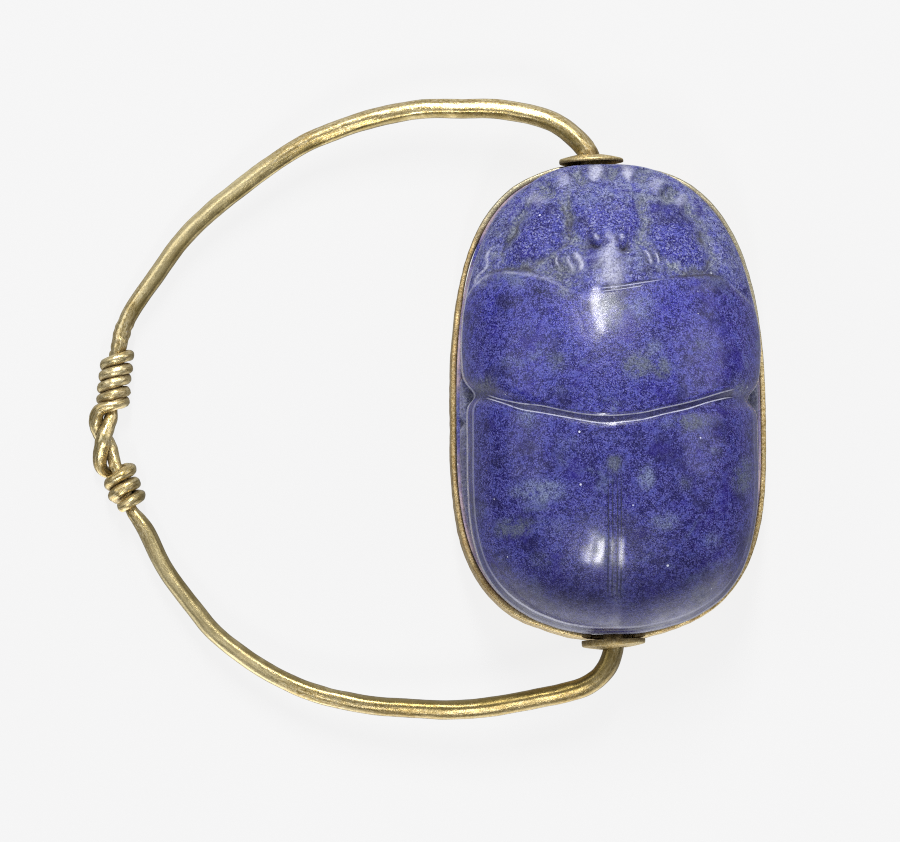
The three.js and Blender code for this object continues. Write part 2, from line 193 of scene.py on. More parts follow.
# ---------------------------------------------------------------- carving of the back
# Lines in plan, in millimetres. Left is -X and the head is at +Y.
FRONT_X = [-5.9, -5.64, -5.40, -5.03, -4.61, -4.08, -3.15, -2.61, -2.15, -1.82, -1.2, -0.5, 0.24, 1.03, 1.77,
           2.89, 3.77, 4.30, 4.66, 5.07, 5.57, 5.80, 5.95]
FRONT_Y = [3.2, 3.76, 4.11, 4.43, 4.63, 4.70, 4.54, 4.35, 4.12, 3.88, 3.76, 3.86, 3.94, 4.06, 4.20,
           4.31, 4.40, 4.30, 4.12, 3.76, 3.38, 2.94, 2.3]
PLATE_L = [(-2.73, 7.65), (-3.06, 7.37), (-3.45, 6.77), (-3.78, 6.21), (-4.13, 5.66), (-4.18, 5.26), (-4.04, 4.92),
           (-3.74, 4.78), (-3.14, 4.9), (-2.49, 5.25), (-1.95, 5.64), (-1.66, 6.05), (-1.72, 6.61), (-1.9, 7.06), (-2.3, 7.66)]
PLATE_R = [(1.66, 7.82), (2.12, 7.52), (2.63, 7.63), (3.10, 7.14), (3.31, 6.46), (3.68, 5.72), (3.88, 5.16), (3.68, 4.76),
           (3.31, 4.65), (2.66, 4.68), (2.26, 4.92), (1.95, 5.22), (1.5, 5.55), (1.34, 5.93), (1.48, 6.36), (1.42, 7.27)]
HEAD = [(-1.6, 7.47), (-1.55, 6.85), (-1.42, 6.22), (-1.2, 5.72), (-1.05, 5.3), (-1.02, 4.7), (-1.05, 4.0), (0.0, 3.5),
        (1.0, 4.1), (0.95, 4.7), (0.95, 5.3), (1.02, 5.8), (1.12, 6.44), (1.2, 7.07), (1.16, 7.5), (1.0, 8.25), (-0.1, 8.45), (-1.3, 8.2)]
EYES = [(-0.66, 5.88), (0.38, 5.87)]
TEETH = [(-1.83, 8.42, 0.26), (-0.53, 8.72, 0.27), (0.74, 8.66, 0.28), (1.86, 8.14, 0.3), (-2.9, 7.6, 0.3), (2.8, 7.5, 0.3)]
PITS = [(-2.38, 8.0, 0.26), (-1.22, 8.5, 0.26), (0.11, 8.76, 0.27), (1.33, 8.6, 0.26), (2.38, 7.72, 0.24)]
HEAD_MID = (-0.10, 6.06)
SEAM_UP = [(-4.97, -0.10), (-4.40, -0.35), (-3.66, -0.56), (-2.84, -0.70), (-2.02, -0.91), (-1.17, -1.07), (-0.17, -1.13),
           (1.05, -1.02), (1.73, -0.87), (2.33, -0.74), (3.19, -0.52), (4.07, -0.23), (4.77, -0.02)]
SEAM_LOW = [(-4.9, -0.26), (-4.24, -0.55), (-3.66, -0.80), (-2.84, -0.98), (-2.01, -1.16), (-1.18, -1.33), (-0.48, -1.43),
            (0.20, -1.39), (1.05, -1.29), (1.89, -1.08), (2.76, -0.88), (3.63, -0.59), (4.43, -0.37)]
MID_X = [-0.335, -0.17, 0.02, 0.165]
GROOVE_L = [(-4.2, 5.4), (-4.13, 5.66), (-3.93, 6.18), (-3.64, 6.74), (-3.36, 7.23), (-3.05, 7.59), (-2.62, 8.04)]
GROOVE_R = [(2.75, 7.85), (3.01, 7.52), (3.30, 7.03), (3.63, 6.38), (3.93, 5.78), (4.07, 5.25), (3.98, 4.85)]
LEG_LINE = [(-4.62, 5.75), (-4.72, 5.55), (-4.93, 5.12), (-5.07, 4.61), (-5.25, 4.19)]
NECK_1 = [(-0.62, 3.93), (-0.5, 3.94), (0.24, 4.01), (1.03, 4.13), (1.77, 4.25), (2.2, 4.34)]
NECK_2 = [(-0.45, 3.80), (0.24, 3.88), (0.6, 3.93), (1.02, 4.0)]
RIDGES = [([(-2.0, 5.32), (-2.04, 5.0), (-2.0, 4.63)], 0.06, 0.7, 0.2), ([(-1.36, 5.4), (-1.36, 5.0), (-1.34, 4.45)], 0.13, 0.9, 0.0),
          ([(-1.62, 5.25), (-1.66, 5.0), (-1.62, 4.6)], 0.06, 0.5, 0.0),
          ([(1.26, 5.4), (1.36, 5.12), (1.48, 4.84)], 0.06, 0.9, 0.4), ([(1.6, 5.43), (1.7, 5.2), (1.8, 4.9)], 0.06, 0.8, 0.3)]


def base_height(x, y, r):
    g = sm(0, 0.62, np.clip((y - Y0) / LH, 0, 1))
    return EQ + (CROWN - EQ) * np.maximum(0, 1 - r ** (2.3 - 0.4 * g)) ** (0.5 + 0.12 * g)


# Patches in the stone: x, y, half width, half length, kind (pale, olive, dark or saturated), strength.
LOOSE = [(-2.55, 7.95, 0.42, 0.28, 0.9), (-1.75, 7.35, 0.22, 0.5, 0.55), (-1.55, 6.3, 0.2, 0.55, 0.45), (-1.75, 5.9, 0.3, 0.25, 0.5),
         (1.35, 7.3, 0.2, 0.55, 0.6), (1.45, 6.2, 0.2, 0.4, 0.45), (2.35, 7.68, 0.4, 0.2, 0.8), (3.35, 6.75, 0.2, 0.55, 0.6),
         (-3.55, 7.05, 0.2, 0.42, 0.5), (2.35, 4.72, 0.32, 0.16, 0.6), (3.95, 4.95, 0.2, 0.4, 0.5), (-2.3, 3.75, 0.3, 0.22, 0.5),
         (-1.5, 4.05, 0.3, 0.25, 0.35), (-0.08, -7.7, 0.28, 0.75, 0.5), (3.35, -8.05, 0.55, 0.35, 0.4)]
SPOTS = [
    (0.89, 0.82, 0.51, 0.47, "o", 0.9), (1.83, 0.70, 0.31, 0.35, "o", 0.9), (1.58, 1.44, 0.39, 0.39, "p", 0.5),
    (3.41, 1.63, 0.51, 0.51, "o", 0.4), (-2.26, 0.96, 0.43, 0.43, "o", 0.5), (-2.20, 0.00, 0.35, 0.31, "o", 0.35),
    (-4.18, 1.15, 0.35, 0.35, "p", 0.35), (-2.87, 3.74, 0.35, 0.23, "d", 0.8), (-1.89, 3.70, 0.27, 0.23, "o", 0.7),
    (-4.04, 3.49, 0.35, 0.31, "d", 0.5), (-5.12, 0.09, 0.43, 0.31, "d", 0.8), (1.04, 3.08, 0.62, 0.55, "p", 0.45),
    (-3.46, -1.04, 0.39, 0.39, "p", 0.55), (2.95, -1.39, 0.70, 0.31, "o", 0.8), (1.89, -1.48, 0.27, 0.27, "p", 0.4),
    (3.84, -2.48, 0.16, 0.16, "p", 0.6), (-0.10, -3.02, 0.27, 0.31, "o", 0.8), (-4.56, -2.81, 0.39, 0.35, "d", 0.6),
    (5.16, -2.94, 0.27, 0.31, "o", 0.6), (-0.07, -0.80, 0.16, 0.23, "p", 0.6), (-1.88, -2.22, 0.70, 0.47, "p", 0.3),
    (-2.90, -4.00, 0.74, 0.39, "p", 0.95), (-3.86, -3.97, 0.35, 0.31, "p", 0.5), (-4.00, -5.39, 0.66, 0.35, "o", 0.8),
    (-3.49, -5.06, 0.35, 0.27, "d", 0.7), (-2.98, -6.68, 0.43, 0.35, "o", 0.45), (1.13, -3.55, 0.27, 0.39, "p", 0.9),
    (1.86, -5.24, 0.51, 0.35, "p", 0.6), (2.64, -3.72, 0.43, 0.39, "o", 0.4), (4.97, -3.58, 0.43, 0.51, "o", 0.7),
    (3.75, -5.98, 0.43, 0.35, "p", 0.45), (-0.65, -8.30, 0.39, 0.35, "d", 0.5), (3.14, -7.90, 0.51, 0.35, "p", 0.35),
    (-5.24, -4.63, 0.35, 0.35, "o", 0.4), (-2.36, -5.33, 0.55, 0.47, "p", 0.35), (2.86, -6.70, 0.78, 0.55, "d", 0.45),
    (-3.33, -7.76, 0.78, 0.39, "d", 0.4), (-1.60, -7.99, 0.62, 0.35, "d", 0.4), (-4.30, -6.40, 0.55, 0.55, "d", 0.4),
    (-0.64, -1.70, 0.55, 0.31, "d", 0.4), (0.90, -2.10, 0.55, 0.39, "d", 0.35), (-2.20, -3.22, 0.47, 0.35, "d", 0.35),
    (3.24, -4.41, 0.55, 0.55, "d", 0.3), (4.16, 2.26, 0.62, 0.78, "s", 0.6), (4.75, 1.11, 0.55, 0.62, "s", 0.5),
    (-4.41, 2.36, 0.62, 0.55, "s", 0.4), (2.86, -2.48, 0.70, 0.55, "s", 0.5), (0.50, -4.41, 0.55, 0.62, "s", 0.4),
    (-3.72, -2.39, 0.55, 0.55, "s", 0.4), (-2.11, 2.63, 0.62, 0.62, "s", 0.3), (-0.18, 2.95, 0.48, 0.70, "o", 0.75),
    (-0.55, -6.35, 0.42, 0.55, "o", 0.7),
]



def line_field(x, y, pts, reach=0.6):
    """Signed distance to a line, and how far it is from its ends."""
    d, f, s = near(x, y, catmull(pts), reach)
    return np.clip(d * np.where(s == 0, 1, s), -1, 1), f, d


def back(x, y, r):
    """Height of the back with its carving, and fields for its colour."""
    z = base_height(x, y, r)
    zero = np.zeros_like(x)
    dirt, chalk, soot = zero.copy(), zero.copy(), zero.copy()
    rim = 1 - sm(0.955, 1.0, r)                  # carving dies out at the very edge
    ax = np.abs(x)

    # Head and cheeks lie lower than the pronotum; the neck runs on.
    step = y - np.interp(x, FRONT_X, FRONT_Y)
    neck = (1 - sm(0.95, 1.75, np.abs(x - 0.05))) * (1 - sm(5.1, 5.8, y))
    sink = sm(-0.06, 0.30, step) * (1 - sm(6.9, 8.2, y)) * (1 - sm(3.8, 4.7, ax)) * (1 - neck)
    carve = -0.26 * sink * rim
    # the gutter at the foot of the pronotum: broad and dirty on the left, a narrow line on the right
    lw = sm(1.3, 1.9, -x) * (1 - sm(4.4, 5.0, -x))
    rw = sm(1.9, 2.4, x) * (1 - sm(3.9, 4.5, x))
    carve -= (0.09 * bell(step - 0.16, 0.13) * lw + 0.10 * bell(step - 0.10, 0.09) * rw) * rim
    # a soft roll along the pronotum's front edge and over its shoulders
    carve += 0.04 * bell(step + 0.24, 0.2) * (1 - neck) * (1 - sm(5.0, 5.6, ax)) * rim
    carve -= 0.08 * bell(step - 0.04, 0.16) * sm(4.2, 4.8, ax) * rim
    nook = bell((x + 2.0) / 1.25, 0.42) * bell(y - 4.62, 0.48) * sm(0.0, 0.2, step)
    carve -= 0.10 * nook
    # painted shade in the nook, over its dirt
    soot += 0.35 * nook
    dirt += 0.95 * nook + 0.55 * bell(step - 0.14, 0.14) * lw + 0.35 * bell(step - 0.09, 0.10) * rw
    # painted shade along the gutter at the foot of the pronotum
    soot += 1.0 * bell(step - 0.08, 0.055) * rw + 0.75 * bell(step - 0.10, 0.07) * lw * sm(2.4, 3.2, -x)
    chalk += 0.55 * bell(step + 0.05, 0.05) * lw * (1 - sm(3.9, 4.5, -x)) + 0.5 * bell(step - 0.06, 0.06) * sm(4.5, 4.9, -x)
    chalk += 0.3 * bell(step - 0.04, 0.05) * sm(4.5, 4.9, x)

    # Cheek plates and the head between them: low pillows in shallow moats, cut unevenly.
    gx, gy = x, y
    clean = np.zeros_like(x)
    x, y = x + 0.05 * waves(gx, gy, 0.45, 41), y + 0.05 * waves(gx, gy, 0.45, 42)
    for ring, lift, soft, soil in ((PLATE_L, 0.26, 0.55, 0.6), (PLATE_R, 0.25, 0.6, 0.45), (HEAD, 0.22, 0.45, 0.55)):
        e = inside(x, y, closed(ring))
        clean = np.maximum(clean, sm(0.02, 0.30, e) * (1 - sm(7.0, 7.8, y)) * (1 - neck))
        # painted shade along the moat at the foot of each pillow
        soot += 0.70 * bell(e + 0.03, 0.065) * sm(-0.5, 0.7, waves(gx, gy, 0.9, 43)) * (1 - sm(7.0, 7.8, y)) * (1 - neck)
        fade = rim * (1 - 0.85 * sm(7.2, 8.3, y)) * (1 - neck)
        carve += lift * sm(-0.05, soft, e) * fade
        carve -= 0.12 * bell(e + 0.06, 0.11) * fade
        dirt = dirt * (1 - 0.9 * sm(-0.04, 0.2, e)) + soil * bell(e + 0.08, 0.15) * (1 - 0.6 * sm(7.2, 8.2, y)) * (1 - 0.7 * neck)
    z += blur(carve, 2)
    z += 0.016 * waves(x, y, 0.7, 11) * sm(4.2, 4.8, y) * rim
    # loose dirt that has stayed between head and cheeks
    for cx, cy, rx, ry, k in LOOSE:
        q = ((x - cx) / rx) ** 2 + ((y - cy) / ry) ** 2
        dirt += k * np.exp(-q)

    # Eyes: two round bosses with a ridge between, over two small hollows. A painted highlight sits on each boss, and
    # painted shade fills the hollows and the lower rims.
    for cx, cy in EYES:
        d = np.hypot(x - cx, (y - cy) * 0.92)
        z += 0.18 * np.sqrt(np.maximum(0, 1 - (d / 0.25) ** 2)) - 0.07 * bell(d - 0.30, 0.07)
        chalk += 1.1 * bell(np.hypot(x - cx - (0.06 if cx < 0 else -0.06), y - cy - 0.06), 0.09)
        d2 = np.hypot((x - cx - 0.12 * np.sign(cx)) / 1.7, y - cy + 0.38)
        z -= 0.20 * bell(d2, 0.19)
        soot += 0.55 * bell(d2, 0.15) + 0.60 * bell(d - 0.30, 0.06) * sm(cy + 0.30, cy + 0.02, y)
    z += 0.06 * bell(x + 0.12, 0.26) * sm(4.8, 5.5, y) * (1 - sm(6.1, 6.6, y))
    # painted highlight down the ridge between the eyes and along the neck
    chalk += 0.76 * bell(x + 0.10, np.where(y > 5.55, 0.11, 0.42)) * sm(3.7, 4.3, y) * (1 - sm(6.0, 6.5, y))
    z += 0.05 * bell(x + 0.09, 0.6) * sm(3.7, 4.5, y) * (1 - sm(5.2, 6.0, y))

    # Clypeus: teeth with pits between them, fanning out from the head.
    for group, lift in ((PITS, -0.34), (TEETH, 0.12)):
        for cx, cy, w in group:
            ang = math.atan2(cy - HEAD_MID[1], cx - HEAD_MID[0])
            u = (x - cx) * math.cos(ang) + (y - cy) * math.sin(ang)
            v = -(x - cx) * math.sin(ang) + (y - cy) * math.cos(ang)
            if lift < 0:
                p = np.exp(-(u / 0.40) ** 4 - (v / (w * 0.88)) ** 4)
                z += lift * p * (1 - sm(0.985, 1.0, r))
                dirt += 1.0 * p
            else:
                p = np.exp(-(u / 0.30) ** 4 - (v / (w * 0.88)) ** 4)
                z += lift * p * rim
                dirt *= 1 - 0.9 * p
                chalk += (1.0 if abs(cx) < 1 else 0.45) * p
                clean = clean * (1 - p)

    # Forelegs: smooth strips along the rim, cut off from the cheeks by a groove.
    for pts, depth, w, soil in ((GROOVE_L, 0.22, 0.13, 0.75), (GROOVE_R, 0.12, 0.15, 0.5)):
        d, f, _ = near(x, y, catmull(pts))
        t = taper(f, 0.15, 0.15)
        z -= depth * bell(d, w) * t
        dirt += soil * bell(d, w * 0.9) * t
    d, f, s = near(x, y, catmull(LEG_LINE))
    z += 0.05 * bell(d, 0.06) * taper(f)
    z -= 0.09 * bell(d - 0.2, 0.16) * (s > 0) * taper(f)
    chalk += 0.8 * bell(d, 0.05) * taper(f)
    dirt += 0.6 * bell(d - 0.22, 0.2) * (s > 0) * taper(f)

    # Folds on either side of the neck.
    for pts, w, pale, shade in RIDGES:
        d, f, s = near(x, y, catmull(pts))
        t = taper(f, 0.25, 0.25)
        z += 0.11 * bell(d, w) * t - 0.10 * bell(d - 2.1 * w, w) * t
        # painted highlight along each crest (pale) and painted shade beside it (shade)
        chalk += 1.5 * pale * bell(d, w * 0.8) * t
        soot += shade * bell(d - 2.1 * w, w) * t
    d = np.hypot((x - 1.43) / 1.1, y - 4.62)
    z += 0.13 * (1 - sm(0.05, 0.32, d))
    # a dark patch painted over the small boss by the right fold
    soot += 0.45 * bell(d, 0.26)

    x, y = gx, gy
    # Cut lines. Their exact edges are drawn in the material from these distances.
    fields = {}
    n1, f1, d1 = line_field(x, y, NECK_1)
    n2, f2, d2 = line_field(x, y, NECK_2)
    fields["neck_1"], fields["neck_2"] = n1, n2
    fields["neck_w"] = np.maximum(taper(f1, 0.12, 0.35) * sm(0.45, 0.25, d1), taper(f2, 0.12, 0.3) * sm(0.45, 0.25, d2) * (d2 < d1))
    z -= 0.045 * (bell(d1, 0.07) * taper(f1, 0.2, 0.4) + bell(d2, 0.07) * taper(f2, 0.2, 0.3))
    up, fu, du = line_field(x, y, SEAM_UP)
    lo, fl, dl = line_field(x, y, SEAM_LOW)
    fields["seam_u"], fields["seam_l"] = up, lo
    fields["seam_w"] = taper(fu, 0.03, 0.03) * sm(0.58, 0.40, du)
    z -= 0.055 * fields["seam_w"] * sm(0.10, -0.02, up) * sm(-0.10, 0.02, lo)
    z += 0.008 * fields["seam_w"] * (bell(up - 0.16, 0.09) + bell(lo + 0.16, 0.09))
    mid = sm(-2.2, -4.9, y) * (1 - sm(-7.6, -8.3, y)) * (y < 0)
    fields["mid_w"] = mid
    for mx in MID_X:
        z -= 0.012 * bell(x - mx, 0.06) * mid
    fields["edge"] = np.where(r > 0.5, (1 - r) * np.hypot(x, y - Y0), 5.0)          # roughly millimetres in from the edge
    tail = sm(-6.6, -8.4, y)
    z -= 0.035 * bell(fields["edge"] - 0.13 - 0.03 * tail, 0.06) * sm(0.0, -0.6, y)
    fields["edge_w"] = 1 - 0.8 * sm(4.4, 5.2, y) - 0.2 * tail
    fields["tail_w"] = sm(0.0, -0.6, y) * (0.45 + 0.55 * tail)

    # the waist on each side is full of dirt
    d = np.hypot((ax - 5.05) / 1.2, y - waist_y(x) - 0.1)
    dirt += 0.8 * bell(d, 0.36)
    # painted shade in the left waist notch
    d = np.hypot((x + 4.7) / 1.2, y - 0.05)
    soot += 0.35 * bell(d, 0.30)
    # painted shade on the stone round the bore at the tail, under the washer
    soot += 0.20 * bell(np.hypot((x + 0.05) / 1.6, (y + 9.40) / 0.3), 0.5)

    # Hand polish: never quite even.
    z += (0.006 * waves(x, y, 1.6, 21) + 0.0022 * waves(x, y, 0.6, 22)) * rim
    kinds = {"p": zero.copy(), "o": zero.copy(), "d": zero.copy(), "s": zero.copy()}
    for cx, cy, rx, ry, kind, strength in SPOTS:
        q = ((x - cx) / (1.25 * rx)) ** 2 + ((y - cy) / (1.25 * ry)) ** 2
        kinds[kind] = np.maximum(kinds[kind], strength * np.exp(-q))
    fields.update(pale=kinds["p"], olive=kinds["o"], dark=kinds["d"], rich=kinds["s"])
    # dust over the head, with a painted sheen there from the light on the head side; the plates stay cleaner
    fields["dust_and_sheen"] = sm(3.6, 5.0, y) * (1 - 0.85 * clean)
    # worn and pale along the rim to the right of the head
    frost = bell(np.hypot((x - 2.6) / 1.9, (y - 8.05) / 0.75), 0.9)
    fields["dust_and_sheen"] = np.clip(fields["dust_and_sheen"] + 1.25 * frost, 0, 1.5)
    fields["head"] = sm(-0.12, 0.25, step) * (1 - sm(5.2, 5.7, ax))
    fields["clean"] = clean
    fields.update(dirt=np.clip(dirt, 0, 1), chalk=np.clip(chalk, 0, 1), soot=np.clip(soot, 0, 1))
    return z, fields


def blur(a, n):
    k = np.exp(-0.5 * (np.arange(-3 * n, 3 * n + 1) / n) ** 2)
    k /= k.sum()
    for axis in (0, 1):
        pad = [(0, 0), (0, 0)]
        pad[axis] = (3 * n, 3 * n)
        b = np.pad(a, pad, mode="edge")
        a = np.apply_along_axis(lambda m: np.convolve(m, k, mode="valid"), axis, b)
    return a


def scarab():
    nu, nv = 224, 312
    A, B = np.meshgrid(np.linspace(-1, 1, nu + 1), np.linspace(-1, 1, nv + 1))
    r = np.maximum(np.abs(A), np.abs(B))
    wide = np.abs(A) > np.abs(B)
    sa, sb = np.where(A == 0, 1, A), np.where(B == 0, 1, B)
    th = np.where(wide, (math.pi / 4) * (B / sa) + np.where(A < 0, math.pi, 0),
                  math.pi / 2 - (math.pi / 4) * (A / sb) + np.where(B < 0, math.pi, 0))
    rr = np.sin(math.pi / 2 * r) * 0.5 + r * 0.5
    ox, oy = outline(th, back_inset(th))
    X, Y = rr * ox, Y0 + rr * (oy - Y0)
    Z, fields = back(X, Y, rr)
    # dirt also gathers wherever the surface dips below its surroundings
    dip = np.clip((blur(Z, 5) - Z) / 0.07 - 0.25, 0, 1) * (1 - sm(0.93, 0.985, rr)) * sm(3.6, 4.4, Y)
    fields["dirt"] = np.clip(fields["dirt"] * 0.85 + 0.35 * dip, 0, 1)
    fields["cement"] = 0 * X
    verts = [np.stack([X.ravel(), Y.ravel(), Z.ravel()], 1)]
    at = {k: [v.ravel()] for k, v in fields.items()}
    ids = np.arange(X.size).reshape(X.shape)
    faces = np.stack([ids[:-1, :-1], ids[:-1, 1:], ids[1:, 1:], ids[1:, :-1]], -1).reshape(-1, 4).tolist()
    ring = np.concatenate([ids[0, :-1], ids[:-1, -1], ids[-1, :0:-1], ids[:0:-1, 0]])
    t = th.ravel()[ring]
    e = back_inset(t)
    bx, by = outline(t, 0 * t)
    front = sm(1.6, 3.4, by)                       # beside the head the flank is plain
    # legs: a bar along the flank, parted into fore, middle and hind leg
    flank = sm(7.9, 6.6, by) * sm(-8.7, -7.6, by)

    def leg(z):
        lean = z - 2.75
        gap = np.maximum(bell(by - 0.85 - 0.9 * lean, 0.16), bell(by + 1.0 + 0.9 * lean, 0.16))
        gap = np.maximum(gap, bell(by - 4.4 + 0.7 * lean, 0.12) * 0.6)
        hairs = 0.015 * np.sin(by * 2 * math.pi / 0.42) * sm(-1.4, -2.2, by)
        return 0.34 + 0.24 * gap * flank + hairs * flank

    def flank_row(z, low):
        plain = e + (0.335 - e) * (EQ - z) / (EQ - 2.4)
        return low(z) * (1 - front) + plain * front

    rows = [
        (EQ - 0.045, lambda z: e + 0.012, 0.1, 0.6, 0),
        (EQ - 0.10, lambda z: e + 0.06, 0.3, 0.2, 0),
        (EQ - 0.17, lambda z: e + 0.15, 0.7, 0.0, 0),
        (EQ - 0.25, lambda z: np.maximum(e + 0.20, leg(z) + 0.16), 0.9, 0.0, 0),
        (EQ - 0.33, lambda z: np.maximum(e * 0.6 + 0.2, leg(z) + 0.10), 0.8, 0.0, 0),
        (EQ - 0.40, lambda z: leg(z) + 0.04, 0.4, 0.3, 0),
        (EQ - 0.47, lambda z: leg(z) + 0.005, 0.0, 0.8, 0),
        (EQ - 0.55, lambda z: leg(z), 0.0, 0.4, 0),
        (EQ - 0.63, lambda z: leg(z) + 0.02, 0.2, 0.0, 0),
        (EQ - 0.70, lambda z: leg(z) + 0.06, 0.5, 0.0, 0),
        (EQ - 0.77, lambda z: leg(z) + 0.11, 0.8, 0.0, 0.1),
        (EQ - 0.85, lambda z: leg(z) + 0.10, 0.7, 0.0, 0.3),
        (2.40, lambda z: 0.34 + 0 * t, 0.3, 0.0, 0.5),
        (2.392, lambda z: 0.27 + 0 * t, 0.1, 0.0, 0.95),
        (2.365, lambda z: 0.228 + 0 * t, 0.0, 0.2, 1.0),
        (2.31, lambda z: 0.222 + 0 * t, 0.0, 0.2, 1.0),
        (2.265, lambda z: 0.247 + 0 * t, 0.1, 0.0, 0.8),
        (2.22, lambda z: 0.25 + 0 * t, 0.2, 0.0, 0.5),
        (0.12, lambda z: 0.25 + 0 * t, 0.2, 0.0, 0),
        (0.035, lambda z: 0.262 + 0 * t, 0.1, 0.5, 0),
        (0.0, lambda z: 0.30 + 0 * t, 0.0, 0.2, 0),
    ]
    count = X.size
    far = {"neck_1": 1.0, "neck_2": 1.0, "seam_u": 1.0, "seam_l": -1.0}
    hole = 0.6 * bell(np.maximum(0, np.abs(bx - BORE[0] + math.sin(SKEW) * by) - 0.55), 0.22) * (np.abs(by) > 7)
    for k, (z, inset, soil, pale, paste) in enumerate(rows):
        x, y = outline(t, flank_row(z, inset) if z > 2.41 else inset(z))
        zz = z + 0.012 * wave1(t * 6, 1.3, 31) * (2.25 < z < EQ - 0.05)
        verts.append(np.stack([x, y, zz + 0 * x], 1))
        for key in at:          # the flank
            at[key].append(np.full(len(t), far.get(key, 0.0)))
        at["edge"][-1] = np.full(len(t), -0.04 * (k + 1))
        at["dirt"][-1] = (np.full(len(t), soil) + 0.4 * bell(by, 0.9)) * (0.8 + 0.2 * wave1(t * 9, 1.0, 33)) * (1 - 0.8 * front)
        at["chalk"][-1] = np.full(len(t), pale) * (1 - 0.6 * front)
        at["cement"][-1] = np.full(len(t), paste) * np.clip(0.8 + 0.4 * wave1(t * 8, 1.0, 32), 0, 1)
        # painted shade on the flank under the overhang of the back, and round the bore at each end
        at["soot"][-1] = np.maximum(hole * (z > 0.2), (0.55 - 0.30 * bell(by, 1.2)) * (z > 2.41)) * (z < EQ - 0.06)
        nxt = np.arange(count, count + len(t))
        count += len(t)
        faces += np.stack([ring, nxt, np.roll(nxt, -1), np.roll(ring, -1)], -1).tolist()
        ring = nxt
    faces.append(ring[::-1].tolist())
    ob = make("scarab_carved", np.vstack(verts), faces, {k: np.concatenate(v) for k, v in at.items()})

    # the bore, cut right through
    n = 48
    ca = np.arange(n) * 2 * math.pi / n
    axis = np.array([-math.sin(SKEW), math.cos(SKEW), 0])
    sidev = np.array([math.cos(SKEW), math.sin(SKEW), 0])
    ringv = np.outer(np.cos(ca), sidev) * BORE_R + np.outer(np.sin(ca), [0, 0, 1]) * BORE_R
    cv = np.vstack([BORE + ringv - 13 * axis, BORE + ringv + 13 * axis])
    cf = [[i, i + n, (i + 1) % n + n, (i + 1) % n] for i in range(n)] + [list(range(n)), list(range(2 * n - 1, n - 1, -1))]
    tool = make("bore_tool", cv, cf, smooth=False)
    cut = ob.modifiers.new("bore", "BOOLEAN")
    cut.operation, cut.object, cut.solver = "DIFFERENCE", tool, "MANIFOLD"
    dg = bpy.context.evaluated_depsgraph_get()
    new = bpy.data.meshes.new_from_object(ob.evaluated_get(dg))
    ob.modifiers.clear()
    old, ob.data = ob.data, new
    bpy.data.meshes.remove(old)
    tool_mesh = tool.data
    bpy.data.objects.remove(tool)
    bpy.data.meshes.remove(tool_mesh)
    new.name = "scarab_carved"
    return ob


# ---------------------------------------------------------------- the band
def bezel():
    n, dense = 1300, 6000
    t = np.linspace(0, 2 * math.pi, dense, endpoint=False) + 1e-4
    x, y = outline(t, 0 * t)
    run = np.concatenate([[0], np.cumsum(np.hypot(np.diff(np.append(x, x[0])), np.diff(np.append(y, y[0]))))])
    tt = np.interp(np.arange(n) * run[-1] / n, run, np.append(t, t[0] + 2 * math.pi))
    s = np.arange(n) * run[-1] / n
    loop = s * 2 * math.pi / run[-1]

    def ripple(order, seed):
        rng = np.random.default_rng(seed)
        return sum(np.cos(k * loop + rng.uniform(0, 6.28)) * rng.uniform(0.5, 1) for k in order) / len(order) ** 0.5

    ox, oy = outline(tt, 0 * tt)
    # distance along the skewed bore's side, for the gap at each end
    off = (ox - BORE[0]) * math.cos(SKEW) + oy * math.sin(SKEW)
    end = sm(7.5, 8.5, np.abs(oy))
    jag = 0.05 * ripple(range(60, 90), 3)
    gap = end * (1 - sm(0.78, 0.84, np.abs(off) + jag))
    top = BAND_H + 0.03 * ripple(range(3, 11), 4) + 0.012 * ripple(range(30, 60), 5)
    top = top * (1 - gap) + (1.5 + 0.04 * ripple(range(20, 50), 6)) * gap
    thick = BAND_T - 0.02 * (1 + 0.8 * ripple(range(4, 16), 7))
    dent = 0.014 * ripple(range(5, 30), 8) + 0.006 * ripple(range(50, 120), 9)
    # the cut ends stand off from the stone a little
    flare = sm(-7.5, -8.6, oy) * 0.21 * (1 - sm(0.6, 3.0, np.abs(off))) + sm(7.5, 8.6, oy) * 0.07 * (1 - sm(0.8, 2.6, -off)) * (off < 0)
    prof = [(0.0, 0.0, 0), (0.002, 0.06, 0), (0.004, 0.25, 0), (-0.006, 0.55, 0), (-0.004, 0.8, 0), (0.002, 0.95, 0), (0.008, 0.984, 0), (0.03, 0.998, 0),
            (0.3, 1.004, 1), (0.5, 1.005, 1), (0.7, 1.004, 1), (0.9, 0.998, 1), (0.98, 0.984, 1), (1.0, 0.95, 1),
            (1.0, 0.6, 1), (1.0, 0.02, 1), (0.92, 0.0, 1), (0.6, 0.0, 1)]
    verts, grime_and_shade = [], []
    for d, h, inner in prof:
        inset = (d * thick if inner else d + dent * (1 - h * 0.4)) + (0.0 if h > 0.05 or inner else 0.02)
        inset = np.maximum(inset, -0.012) - flare
        px, py = outline(tt, inset)
        verts.append(np.stack([px, py, top * h], 1))
        # painted shade: the inner wall, the foot and the notches at the ends darkened as if in shadow
        grime_and_shade.append(np.full(n, 0.5 if inner and h < 0.9 else (0.2 if h < 0.3 else 0.0)) + 0.5 * gap)
    k = len(prof)
    ids = np.arange(k * n).reshape(k, n)
    faces = np.stack([ids, np.roll(ids, -1, 1), np.roll(np.roll(ids, -1, 1), -1, 0), np.roll(ids, -1, 0)], -1).reshape(-1, 4)
    foot = np.vstack(verts)
    foot[:, 2] = np.maximum(foot[:, 2], 0.004)
    return make("bezel_band", foot, faces, {"grime_and_shade": np.clip(np.concatenate(grime_and_shade), 0, 1)})


